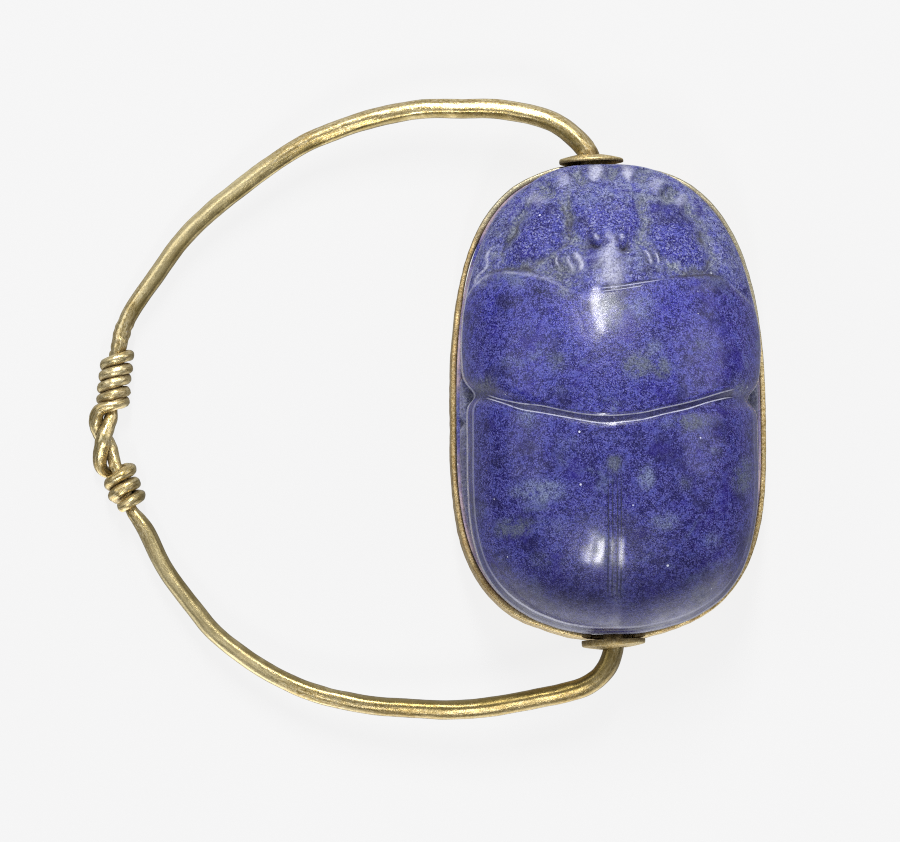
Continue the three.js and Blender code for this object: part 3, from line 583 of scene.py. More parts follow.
# ---------------------------------------------------------------- on the bore axis
def on_bore(p):
    p = np.asarray(p, float)
    c, s = math.cos(SKEW), math.sin(SKEW)
    return np.stack([c * p[:, 0] - s * p[:, 1], s * p[:, 0] + c * p[:, 1], p[:, 2]], 1) + BORE


def washer(name, rim, thick, sign, seed, dome):
    n = 120
    a = np.arange(n) * 2 * math.pi / n
    rng = np.random.default_rng(seed)
    wob = sum(np.cos(k * a + rng.uniform(0, 6.28)) * rng.uniform(0.3, 1) / k for k in range(2, 9))
    bend = 0.02 * np.cos(2 * a + rng.uniform(0, 6.28)) + 0.012 * np.cos(3 * a + rng.uniform(0, 6.28))
    R = 1.25 + 0.022 * wob
    hole = 0.49
    prof = []            # (fraction from hole to rim, through the thickness)
    for f in np.linspace(0, 1, 9):
        prof.append((f, 0.0))
    prof += [(1.012, 0.12), (1.018, 0.4), (1.012, 0.75), (0.99, 0.95)]
    for f in np.linspace(0.95, 0.05, 8):
        prof.append((f, 1.0))
    prof += [(0.0, 0.9), (-0.012, 0.5), (-0.008, 0.15)]
    verts, grime_and_shade = [], []
    for f, h in prof:
        rad = hole + (R - hole) * f
        rise = dome * (1 - (rad / 1.25) ** 2) + bend * np.clip(f, 0, 1) ** 2 * 0.6
        tk = thick * (1 - 0.18 * np.clip(f, 0, 1) + 0.06 * np.cos(a * 3 + seed) + 0.12 * np.cos(a - 3.0))
        y = rim + sign * (np.maximum(rise, 0 if h == 0 else -1) + h * tk)
        verts.append(np.stack([rad * np.cos(a), y, rad * np.sin(a)], 1))
        # painted shade on the face against the stone and round the hole; darker still on the rim and on the tail cap's
        # outer face
        grime_and_shade.append(np.full(n, 0.70 if h < 0.1 else (0.85 if 0.1 <= h < 0.7 and f > 0.9 else (0.6 if f < 0.12 else (0.05 if sign > 0 else 0.40)))))
    k = len(prof)
    ids = np.arange(k * n).reshape(k, n)
    faces = np.stack([ids, np.roll(ids, -1, 1), np.roll(np.roll(ids, -1, 1), -1, 0), np.roll(ids, -1, 0)], -1).reshape(-1, 4)
    if sign < 0:
        faces = faces[:, ::-1]
    return make(name, on_bore(np.vstack(verts)), faces, {"grime_and_shade": np.concatenate(grime_and_shade)})


# ---------------------------------------------------------------- the wire
HEAD_ARC = [(-0.03, 9.42), (-0.14, 9.68), (-0.38, 10.02), (-0.68, 10.35), (-1.05, 10.67), (-1.72, 11.05), (-3.31, 11.5), (-5.01, 11.64),
            (-6.67, 11.69), (-8.29, 11.48), (-9.83, 11.09), (-11.33, 10.55), (-12.71, 9.76), (-15.26, 7.96),
            (-16.44, 6.87), (-17.43, 5.6), (-18.46, 4.26), (-18.87, 3.41)]
TAIL_ARC = [(-18.31, -4.34), (-17.64, -5.87), (-16.72, -7.28), (-15.69, -8.63), (-14.43, -9.72), (-13.01, -10.65),
            (-11.43, -11.32), (-9.81, -11.73), (-8.16, -11.95), (-6.47, -12.09), (-4.77, -12.02), (-3.06, -11.78),
            (-2.1, -11.64), (-1.24, -11.42), (-0.6, -11.04), (-0.24, -10.6), (-0.07, -10.2), (0, -9.93)]
UPPER = ((-19.39, 0.5), (-19.13, 2.32), 4)
LOWER = ((-19.18, -2.27), (-18.88, -3.34), 2)


def winding(w, radius, u0, u1, steps, hand, tilt=0.0):
    (fx, fy), (tx, ty), turns = w
    dx, dy = tx - fx, ty - fy
    ln = math.hypot(dx, dy)
    side = (abs(dy) / ln, (-dx if dy > 0 else dx) / ln)
    u = u0 + (u1 - u0) * np.arange(steps + 1) / steps
    a = 2 * math.pi * u * hand
    lean = tilt * radius * np.sin(a) + 0.03 * np.sin(3.1 * u + 0.7)      # slanting, and not quite even
    radius = radius * (1 + 0.035 * np.sin(4.3 * u + 1.0))
    return np.stack([fx + dx * (u / turns + lean / ln) + radius * np.sin(a) * side[0],
                     fy + dy * (u / turns + lean / ln) + radius * np.sin(a) * side[1], radius * np.cos(a)], 1)


def wire_path():
    """Rows of x, y, z and radius in the plane of the hoop, from one free end to the other."""
    rows = []

    def put(pts, radius):
        pts = [tuple(p) + (0.0,) * (3 - len(p)) for p in pts]
        n = max(1, len(pts) - 1)
        for k, p in enumerate(pts):
            rows.append(p + (radius(k / n) if callable(radius) else radius,))

    put(winding(UPPER, 0.45, 4.6, 0, 56, 1, 0.24), lambda u: 0.218 - 0.03 * (1 - float(sm(0, 0.05, np.float64(u)))))
    put([(-19.76, 0.44, 0.4), (-19.97, 0.24, 0.24), (-20.04, -0.13, 0.0), (-19.92, -0.53, -0.20),
         (-19.69, -0.82, -0.32), (-19.52, -1.23, -0.24), (-19.37, -1.76, -0.06)], lambda u: 0.25 + 0.05 * math.sin(math.pi * u))
    put([(-19.18, -2.27), (-19.03, -2.805), (-18.88, -3.34), (-18.79, -3.62)], lambda u: 0.225 + 0.02 * u)
    put(TAIL_ARC, lambda u: 0.33 + 0.07 * float(sm(-0.05, 0.75, np.float64(u))))
    put([(0, -9.5), (0, -3), (0, 3), (0, 9.0)], 0.4)
    put(HEAD_ARC, lambda u: 0.4 - 0.07 * float(sm(0.25, 1.05, np.float64(u))))
    put([(-19.02, 2.86)], 0.315)
    put([(-19.11, 2.5)], 0.245)
    put([(-19.2, 1.83), (-19.294, 1.17), (-19.39, 0.5)], 0.225)
    put([(-19.46, 0.04, 0.08), (-19.61, -0.39, 0.24), (-19.76, -0.78, 0.32), (-19.87, -1.14, 0.22),
         (-19.95, -1.51, 0.06), (-19.95, -1.84, -0.14), (-19.79, -2.04, -0.34), (-19.57, -2.04, -0.45)], lambda u: 0.225 + 0.075 * math.sin(math.pi * min(1.0, 0.15 + u)))
    put(winding(LOWER, 0.475, -0.5, 2.12, 34, -1), lambda u: 0.24 - 0.03 * float(sm(0.93, 1, np.float64(u))))
    return np.array(rows)


def to_world(p):
    """From the plane of the hoop: drop about the bore, turn with its skew, move to its height."""
    c, s = math.cos(DROOP), math.sin(DROOP)
    q = np.stack([p[:, 0] * c - p[:, 2] * s, p[:, 1], p[:, 0] * s + p[:, 2] * c], 1)
    return on_bore(q)


def hoop():
    rows = wire_path()
    span = np.linalg.norm(np.diff(rows[:, :3], axis=0), axis=1)
    per = [int(max(1, math.ceil(d / (0.06 if rows[i, 0] < -18.7 else (0.09 if rows[i, 0] < -0.01 else 0.35)))))
           for i, d in enumerate(span)]
    c = catmull(rows, per)
    P, R = c[:, :3], c[:, 3]
    s = np.concatenate([[0], np.cumsum(np.linalg.norm(np.diff(P, axis=0), axis=1))])
    T = np.gradient(P, axis=0)
    T /= np.linalg.norm(T, axis=1)[:, None]
    N = np.zeros_like(P)
    v = np.array([0, 0, 1.0]) if abs(T[0, 2]) < 0.9 else np.array([1.0, 0, 0])
    for i in range(len(P)):
        if i:
            ax = np.cross(T[i - 1], T[i])
            sn = np.linalg.norm(ax)
            if sn > 1e-9:
                ax /= sn
                an = math.atan2(sn, float(T[i - 1] @ T[i]))
                v = v * math.cos(an) + np.cross(ax, v) * math.sin(an) + ax * (ax @ v) * (1 - math.cos(an))
        v = v - T[i] * (v @ T[i])
        v /= np.linalg.norm(v)
        N[i] = v
    Bn = np.cross(T, N)
    sides = 28
    a = np.arange(sides) * 2 * math.pi / sides
    tie = sm(-18.4, -18.9, P[:, 0])
    bore = (np.abs(P[:, 1]) < 9.75) & (np.abs(P[:, 0]) < 0.2)
    S, PH = np.meshgrid(s, a, indexing="ij")
    amp = np.where(bore, 0.15, 1.0)
    # drawn and hammered: a few long flats that turn slowly, seams, and faint dents
    turn = 0.9 * wave1(s, 9.0, 51) + 0.02 * s
    hammer = tie[:, None] * (0.030 * waves(S, PH * 0.25, 0.30, 54) + 0.015 * waves(S, PH * 0.25, 0.16, 55))
    shape = (1 - 0.5 * tie)[:, None] * (0.026 * np.cos(5 * PH + turn[:, None] * 2.2) + 0.030 * np.cos(3 * PH - turn[:, None] * 1.3)
             + 0.016 * np.cos(2 * PH + turn[:, None]) + 0.010 * np.cos(8 * PH + turn[:, None] * 3))
    dents = 0.012 * waves(S, PH * 0.5, 0.9, 52) + 0.006 * waves(S, PH * 0.5, 0.35, 53)
    seam = np.zeros_like(S)
    for k, (off, deep) in enumerate(((0.4, 0.05), (2.4, 0.035), (4.3, 0.045))):
        w = off + 0.25 * wave1(s, 6.0, 60 + k) + 0.06 * s / 6
        d = (PH - w[:, None] + math.pi) % (2 * math.pi) - math.pi
        on = np.clip(0.5 + 0.9 * wave1(s, 7.0, 70 + k), 0, 1)[:, None]
        seam += deep * np.exp(-(d / 0.13) ** 2) * on
    rad = R[:, None] * (1 + amp[:, None] * (shape + dents + hammer - seam))
    V = P[:, None, :] + rad[..., None] * (np.cos(PH)[..., None] * N[:, None, :] + np.sin(PH)[..., None] * Bn[:, None, :])
    n = len(P)
    verts = V.reshape(-1, 3)
    ids = np.arange(n * sides).reshape(n, sides)
    faces = np.stack([ids[:-1], np.roll(ids, -1, 1)[:-1], np.roll(ids, -1, 1)[1:], ids[1:]], -1).reshape(-1, 4).tolist()
    # blunt ends
    extra, base = [], n * sides
    for end, sg in ((0, -1), (n - 1, 1)):
        prev = ids[end]
        for f, out in ((0.86, 0.22), (0.5, 0.4)):
            ringv = P[end] + sg * out * R[end] * T[end] + f * (V[end] - P[end])
            extra.append(ringv)
            cur = np.arange(base, base + sides)
            base += sides
            q = np.stack([prev, np.roll(prev, -1), np.roll(cur, -1), cur], -1)
            faces += (q if sg > 0 else q[:, ::-1]).tolist()
            prev = cur
        faces.append((prev if sg > 0 else prev[::-1]).tolist())
    verts = np.vstack([verts] + extra)
    # darker in the seams, and painted shade where strands lie against each other
    grime_and_shade = np.clip(seam / 0.05, 0, 1).ravel() * 0.55
    k = np.nonzero((tie > 0.5))[0]
    close = np.zeros((n, sides))
    C = P[k]
    for i in k:
        far = np.abs(s[k] - s[i]) > 0.85
        d = np.linalg.norm(V[i][:, None, :] - C[far][None], axis=2) - R[k][far][None]
        close[i] = sm(0.20, 0.02, d.min(1))
    grime_and_shade = np.maximum(grime_and_shade, 0.9 * close.ravel())
    # painted shade where the wire goes into the washers
    hole = sm(8.6, 9.0, np.abs(P[:, 1])) * (1 - sm(9.55, 9.75, np.abs(P[:, 1]))) * (np.abs(P[:, 0]) < 0.4)
    grime_and_shade = np.clip(np.maximum(grime_and_shade, np.repeat(1.0 * hole, sides)), 0, 1)
    # which side faces the hollow of the hoop
    hub = np.array([-9.4, -0.2, 0.0]) - P
    hub[:, 2] = 0
    hub /= np.maximum(1e-6, np.linalg.norm(hub, axis=1))[:, None]
    face = np.einsum("ijk,ik->ij", (V - P[:, None, :]) / rad[..., None], hub)
    stained = sm(-9.8, -6.8, P[:, 0]) * (P[:, 1] < -9.6)          # more so beside the tail
    inner = (sm(-0.20, 0.65, face) * (1 - 0.75 * tie)[:, None] + 0.55 * stained[:, None] * sm(-0.9, 0.3, face)) * (~bore)[:, None]
    inner = np.clip(inner, 0, 1).ravel()
    along = np.stack([np.cos(PH) * 0.4, np.sin(PH) * 0.4, S * 0.12], -1).reshape(-1, 3)
    pad = len(verts) - n * sides
    grime_and_shade = np.concatenate([grime_and_shade, np.full(pad, 0.2)])
    along = np.vstack([along, np.repeat(along[:1], pad, 0)])
    inner = np.concatenate([inner, np.zeros(pad)])
    solid = to_world(verts)
    solid[:, 2] = np.maximum(solid[:, 2], 0.003)
    return make("hoop_wire", solid, faces, {"grime_and_shade": grime_and_shade, "along": along, "inner": inner})


# ---------------------------------------------------------------- materials
class Paint:
    """A node material around one Principled shader."""

    def __init__(self, name):
        self.m = bpy.data.materials.new(name)
        self.m.use_nodes = True
        self.t = self.m.node_tree
        self.t.nodes.clear()
        self.out = self.t.nodes.new("ShaderNodeOutputMaterial")
        self.bsdf = self.t.nodes.new("ShaderNodeBsdfPrincipled")
        self.t.links.new(self.bsdf.outputs[0], self.out.inputs[0])

    def put(self, socket, value):
        if isinstance(value, bpy.types.NodeSocket):
            self.t.links.new(value, socket)
        else:
            socket.default_value = value

    def node(self, kind, out=0, **inputs):
        n = self.t.nodes.new(kind)
        for key, val in inputs.items():
            self.put(n.inputs[key.replace("_", " ")], val)
        return n.outputs[out]

    def attr(self, name, out="Fac"):
        n = self.t.nodes.new("ShaderNodeAttribute")
        n.attribute_name = name
        return n.outputs[out]

    def space(self, scale=1000.0, shift=(0, 0, 0), source=None):
        n = self.t.nodes.new("ShaderNodeMapping")
        if source is None:
            source = self.t.nodes.new("ShaderNodeTexCoord").outputs["Object"]
        self.t.links.new(source, n.inputs["Vector"])
        n.inputs["Scale"].default_value = (scale,) * 3 if not isinstance(scale, tuple) else scale
        n.inputs["Location"].default_value = shift
        return n.outputs[0]

    def noise(self, where, scale, detail=2.0, rough=0.5, out="Fac", warp=0.0):
        n = self.t.nodes.new("ShaderNodeTexNoise")
        self.t.links.new(where, n.inputs["Vector"])
        n.inputs["Scale"].default_value = scale
        n.inputs["Detail"].default_value = detail
        n.inputs["Roughness"].default_value = rough
        n.inputs["Distortion"].default_value = warp
        return n.outputs[0 if out == "Fac" else 1]

    def ramp(self, value, a, b, lo=0.0, hi=1.0):
        n = self.t.nodes.new("ShaderNodeMapRange")
        n.interpolation_type = "SMOOTHSTEP"
        self.put(n.inputs[0], value)
        for i, v in enumerate((a, b, lo, hi)):
            n.inputs[i + 1].default_value = v
        return n.outputs[0]

    def math(self, op, a, b=0.0, clamp=False):
        n = self.t.nodes.new("ShaderNodeMath")
        n.operation, n.use_clamp = op, clamp
        self.put(n.inputs[0], a)
        self.put(n.inputs[1], b)
        return n.outputs[0]

    def mix(self, fac, a, b, blend="MIX"):
        n = self.t.nodes.new("ShaderNodeMix")
        n.data_type, n.blend_type = "RGBA", blend
        self.put(n.inputs[0], fac)
        self.put(n.inputs[6], a if isinstance(a, bpy.types.NodeSocket) else (*a, 1.0))
        self.put(n.inputs[7], b if isinstance(b, bpy.types.NodeSocket) else (*b, 1.0))
        return n.outputs[2]

    def bump(self, height, strength, distance, normal=None):
        n = self.t.nodes.new("ShaderNodeBump")
        n.inputs["Strength"].default_value = strength
        n.inputs["Distance"].default_value = distance
        self.put(n.inputs["Height"], height)
        if normal is not None:
            self.put(n.inputs["Normal"], normal)
        return n.outputs[0]

    def grey(self, value):
        n = self.t.nodes.new("ShaderNodeCombineColor")
        for i in range(3):
            self.put(n.inputs[i], value)
        return n.outputs[0]


def lapis():
    p = Paint("lapis_lazuli")
    at = p.space()

    def cells(scale, shift):
        v = p.t.nodes.new("ShaderNodeTexVoronoi")
        v.feature = "F1"
        p.t.links.new(p.space(shift=shift), v.inputs["Vector"])
        v.inputs["Scale"].default_value = scale
        c = p.t.nodes.new("ShaderNodeSeparateColor")
        p.t.links.new(v.outputs["Color"], c.inputs[0])
        return v.outputs["Distance"], c.outputs[0], c.outputs[1]

    def field(name, noise, lo=0.30, hi=0.62, mess=1.1):
        """A patch whose edge is broken up by noise."""
        return p.ramp(p.math("ADD", p.attr(name), p.math("MULTIPLY", p.math("SUBTRACT", noise, 0.5), mess)), lo, hi)

    def thin(value, centre, half):
        return p.ramp(p.math("ABSOLUTE", p.math("SUBTRACT", value, centre)), half * 1.6, half * 0.5)

    def both(a, b):
        return p.math("MAXIMUM", a, b)

    def times(a, b):
        return p.math("MULTIPLY", a, b)

    xyz = p.t.nodes.new("ShaderNodeSeparateXYZ")
    p.t.links.new(at, xyz.inputs[0])
    big = p.noise(at, 0.26, 3, 0.55)
    cloud = p.noise(p.space(shift=(3.1, 7.7, 1.9)), 0.75, 5, 0.62, warp=0.3)
    calcite = p.noise(p.space(shift=(11.3, 2.4, 5.0)), 0.62, 6, 0.68, warp=0.4)
    dark = p.noise(p.space(shift=(23.0, 14.0, 8.0)), 0.65, 5, 0.64)
    mess = p.noise(p.space(shift=(7.0, 1.0, 3.0)), 2.4, 5, 0.7)
    fine = p.noise(at, 4.2, 3, 0.62)
    cloud2 = p.noise(p.space(shift=(9.0, 4.0, 6.0)), 1.7, 4, 0.7, warp=0.2)
    _, g1, g2 = cells(17.0, (0, 0, 0))

    col = p.mix(p.ramp(big, 0.36, 0.64), (0.019, 0.007, 0.200), (0.022, 0.018, 0.440))
    col = p.mix(p.ramp(xyz.outputs[1], 1.5, -3.0, 0, 0.60), col, (0.022, 0.012, 0.140))
    col = p.mix(p.ramp(cloud, 0.52, 0.72, 0, 0.6), col, (0.070, 0.085, 0.250))
    col = p.mix(p.ramp(calcite, 0.57, 0.69, 0, 0.75), col, (0.120, 0.150, 0.300))
    col = p.mix(p.ramp(dark, 0.52, 0.66, 0, 0.85), col, (0.012, 0.010, 0.080))
    col = p.mix(times(p.ramp(xyz.outputs[0], 1.0, 5.0, 0, 0.45), p.ramp(p.attr("head"), 0, 1, 1.0, 0.35)), col, (0.052, 0.012, 0.250))
    col = p.mix(times(field("rich", mess, 0.2, 0.8, 0.9), 0.45), col, (0.034, 0.020, 0.430))
    col = p.mix(times(field("dark", mess, 0.2, 0.8, 1.3), 0.35), col, (0.014, 0.014, 0.070))
    col = p.mix(times(field("olive", mess, 0.2, 0.8, 1.3), 0.38), col, (0.085, 0.105, 0.130))
    col = p.mix(times(field("pale", mess, 0.2, 0.8, 1.3), 0.40), col, (0.180, 0.220, 0.390))
    col = p.mix(times(p.attr("clean"), 0.45), col, (0.020, 0.018, 0.330))
    # dust and painted sheen: paler and greyer over the head
    col = p.mix(times(p.attr("dust_and_sheen"), p.ramp(mess, 0.35, 0.65, 0.25, 0.75)), col, (0.180, 0.205, 0.370))
    # crystals: pale and dark grains, a pixel or two across
    salt = p.noise(p.space(shift=(1.0, 8.0, 2.0)), 19.0, 2, 0.8)
    col = p.mix(p.ramp(cloud2, 0.50, 0.62, 0, 0.75), col, (0.050, 0.060, 0.400))
    col = p.mix(p.ramp(cloud2, 0.50, 0.38, 0, 0.75), col, (0.006, 0.004, 0.115))
    col = p.mix(p.ramp(fine, 0.52, 0.72, 0, 0.55), col, (0.092, 0.097, 0.440))
    col = p.mix(p.ramp(fine, 0.48, 0.30, 0, 0.60), col, (0.006, 0.004, 0.085))
    col = p.mix(p.ramp(salt, 0.52, 0.61, 0, 0.90), col, (0.188, 0.192, 0.590))
    col = p.mix(p.ramp(salt, 0.51, 0.40, 0, 0.98), col, (0.001, 0.001, 0.078))
    col = p.mix(p.ramp(g1, 0.65, 1.0, 0, 0.55), col, (0.165, 0.170, 0.560))
    col = p.mix(times(p.attr("head"), p.ramp(g1, 0.72, 0.98, 0, 0.45)), col, (0.430, 0.455, 0.640))
    col = p.mix(p.ramp(g1, 0.35, 0.0, 0, 0.55), col, (0.006, 0.004, 0.070))
    # flecks between the grains and the clouds in size
    fleck = p.noise(p.space(shift=(6.0, 2.0, 7.0)), 3.1, 4, 0.78)
    col = p.mix(p.ramp(fleck, 0.54, 0.63, 0, 0.62), col, (0.088, 0.100, 0.440))
    col = p.mix(p.ramp(fleck, 0.46, 0.37, 0, 0.70), col, (0.003, 0.002, 0.080))
    # the larger patches, over the grain
    over = p.ramp(salt, 0.36, 0.64, 0.20, 1.0)
    under = p.ramp(salt, 0.36, 0.64, 1.0, 0.35)
    frayed = p.math("ADD", times(mess, 0.5), times(p.noise(p.space(shift=(3.0, 5.0, 9.0)), 6.0, 4, 0.75), 0.5))

    def torn(name):
        return times(p.ramp(p.attr(name), 0.10, 0.70), p.ramp(frayed, 0.38, 0.57))

    col = p.mix(times(p.ramp(calcite, 0.56, 0.67, 0, 0.55), over), col, (0.135, 0.165, 0.330))
    col = p.mix(p.ramp(dark, 0.53, 0.65, 0, 0.50), col, (0.010, 0.007, 0.070))
    col = p.mix(p.ramp(cloud, 0.46, 0.32, 0, 0.40), col, (0.022, 0.008, 0.260))
    col = p.mix(times(times(torn("dark"), 0.95), under), col, (0.007, 0.007, 0.030))
    col = p.mix(times(times(torn("olive"), 0.60), under), col, (0.026, 0.032, 0.046))
    col = p.mix(times(times(torn("olive"), 0.80), over), col, (0.195, 0.226, 0.265))
    col = p.mix(times(times(torn("pale"), 0.80), over), col, (0.300, 0.360, 0.530))
    # dust and painted sheen again, over the grain
    col = p.mix(times(times(p.attr("dust_and_sheen"), p.ramp(frayed, 0.45, 0.58, 0.03, 0.50)), over), col, (0.350, 0.385, 0.530))
    col = p.mix(times(field("rich", mess, 0.2, 0.8, 0.9), 0.18), col, (0.034, 0.018, 0.430))
    # painted shade: darker towards the tail, where less light falls
    col = p.mix(p.ramp(xyz.outputs[1], 2.0, -2.5, 0.14, 0.27), col, (0.003, 0.002, 0.026))
    col = p.mix(p.ramp(xyz.outputs[1], -6.4, -8.0, 0.0, 0.45), col, (0.010, 0.007, 0.045))
    # white specks of uneven size
    vd, vr, _ = cells(1.5, (2, 6, 4))
    speck = p.ramp(p.math("SUBTRACT", vd, times(p.ramp(vr, 0.3, 1.0), 0.06)), 0.02, 0.0)
    col = p.mix(times(speck, 0.9), col, (0.70, 0.72, 0.86))

    # dirt in the hollows
    dirt = p.attr("dirt")
    soil = p.math("MULTIPLY", dirt, p.ramp(frayed, 0.38, 0.60, 0.18, 1.15), True)
    soil_col = p.mix(p.ramp(g2, 0.15, 0.95), (0.072, 0.082, 0.125), (0.310, 0.332, 0.385))
    col = p.mix(times(soil, 0.85), col, soil_col)
    # cut lines: painted shade dark in the groove, pale along the edges
    su, sl, sw = p.attr("seam_u"), p.attr("seam_l"), p.attr("seam_w")
    broken = p.ramp(mess, 0.30, 0.55, 0.45, 1.0)
    trench = times(times(p.ramp(su, 0.03, -0.02), p.ramp(sl, -0.03, 0.02)), sw)
    lips = both(thin(su, 0.075, 0.03), thin(sl, -0.075, 0.03))
    n1, n2, nw = p.attr("neck_1"), p.attr("neck_2"), p.attr("neck_w")
    mw = p.attr("mid_w")
    wob = times(p.math("SUBTRACT", p.noise(p.space(scale=(200.0, 600.0, 200.0)), 0.8, 2), 0.5), 0.07)
    px = p.math("ADD", xyz.outputs[0], wob)
    mids = None
    for k, mx in enumerate(MID_X):
        one = thin(px, mx, 0.024)
        mids = one if mids is None else both(mids, one)
    edge, ew, tw = p.attr("edge"), p.attr("edge_w"), p.attr("tail_w")
    groove = times(thin(edge, 0.135, 0.024), tw)
    cut = both(both(times(trench, 0.85), times(times(lips, sw), 0.45)),
               both(times(both(thin(n1, 0, 0.028), thin(n2, 0, 0.024)), nw), both(times(mids, mw), times(groove, 0.8))))
    col = p.mix(times(cut, 0.80), col, (0.022, 0.022, 0.050))
    pale = times(both(thin(su, 0.0, 0.020), thin(sl, 0.0, 0.020)), times(sw, broken))
    pale = both(pale, times(times(both(thin(n1, -0.055, 0.02), thin(n2, -0.05, 0.02)), nw), 0.7))
    # a pale line right at the rim edge is a painted highlight
    pale = both(pale, times(times(thin(edge, 0.02, 0.03), ew), p.ramp(mess, 0.30, 0.55, 0.5, 1.0)))
    pale = both(pale, times(times(thin(edge, 0.225, 0.026), tw), p.ramp(xyz.outputs[0], 2.0, -2.0, 0.25, 0.8)))
    # pale chalk in the cuts and on the teeth, and painted highlights on the eyes, the ridge between them and the fold
    # crests
    pale = both(pale, times(p.attr("chalk"), p.ramp(g1, 0.0, 0.6, 0.45, 1.0)))
    col = p.mix(times(pale, 0.84), col, (0.540, 0.550, 0.690))
    # painted shade: dark in the hollows, the creases and under the overhang
    soot = p.math("MULTIPLY", p.attr("soot"), p.ramp(mess, 0.25, 0.55, 0.5, 1.0), True)
    col = p.mix(times(soot, 0.9), col, (0.030, 0.024, 0.026))
    col = p.mix(times(p.attr("cement"), p.ramp(mess, 0.35, 0.6, 0.5, 0.95)), col, (0.500, 0.375, 0.400))
    p.put(p.bsdf.inputs["Base Color"], col)
    rough = p.ramp(fine, 0.25, 0.75, 0.24, 0.34)
    rough = p.math("ADD", rough, times(g2, 0.08))
    rough = p.math("ADD", rough, times(p.attr("head"), 0.20))
    rough = p.math("ADD", rough, times(soil, 0.35))
    p.put(p.bsdf.inputs["Roughness"], rough)
    n = p.bump(salt, 0.60, 0.00002)
    n = p.bump(p.noise(p.space(shift=(5, 5, 5)), 5.0, 2, 0.6), 0.25, 0.00003, n)
    n = p.bump(p.math("SUBTRACT", 1.0, cut), 0.6, 0.00004, n)
    p.put(p.bsdf.inputs["Normal"], n)
    p.bsdf.inputs["IOR"].default_value = 1.5
    p.bsdf.inputs["Specular IOR Level"].default_value = 0.26
    coat = p.math("SUBTRACT", p.ramp(mess, 0.30, 0.62, 0.62, 0.32), times(soil, 0.6), True)
    side = times(times(p.ramp(xyz.outputs[0], 0.10, 0.32), p.ramp(xyz.outputs[0], 1.8, 1.0)), p.ramp(xyz.outputs[1], -4.0, -5.2))
    coat = times(coat, p.math("SUBTRACT", 1.0, times(side, 0.80)))
    p.put(p.bsdf.inputs["Coat Weight"], times(coat, p.ramp(p.attr("head"), 0.0, 1.0, 1.0, 0.12)))
    p.bsdf.inputs["Coat Roughness"].default_value = 0.16
    return p.m


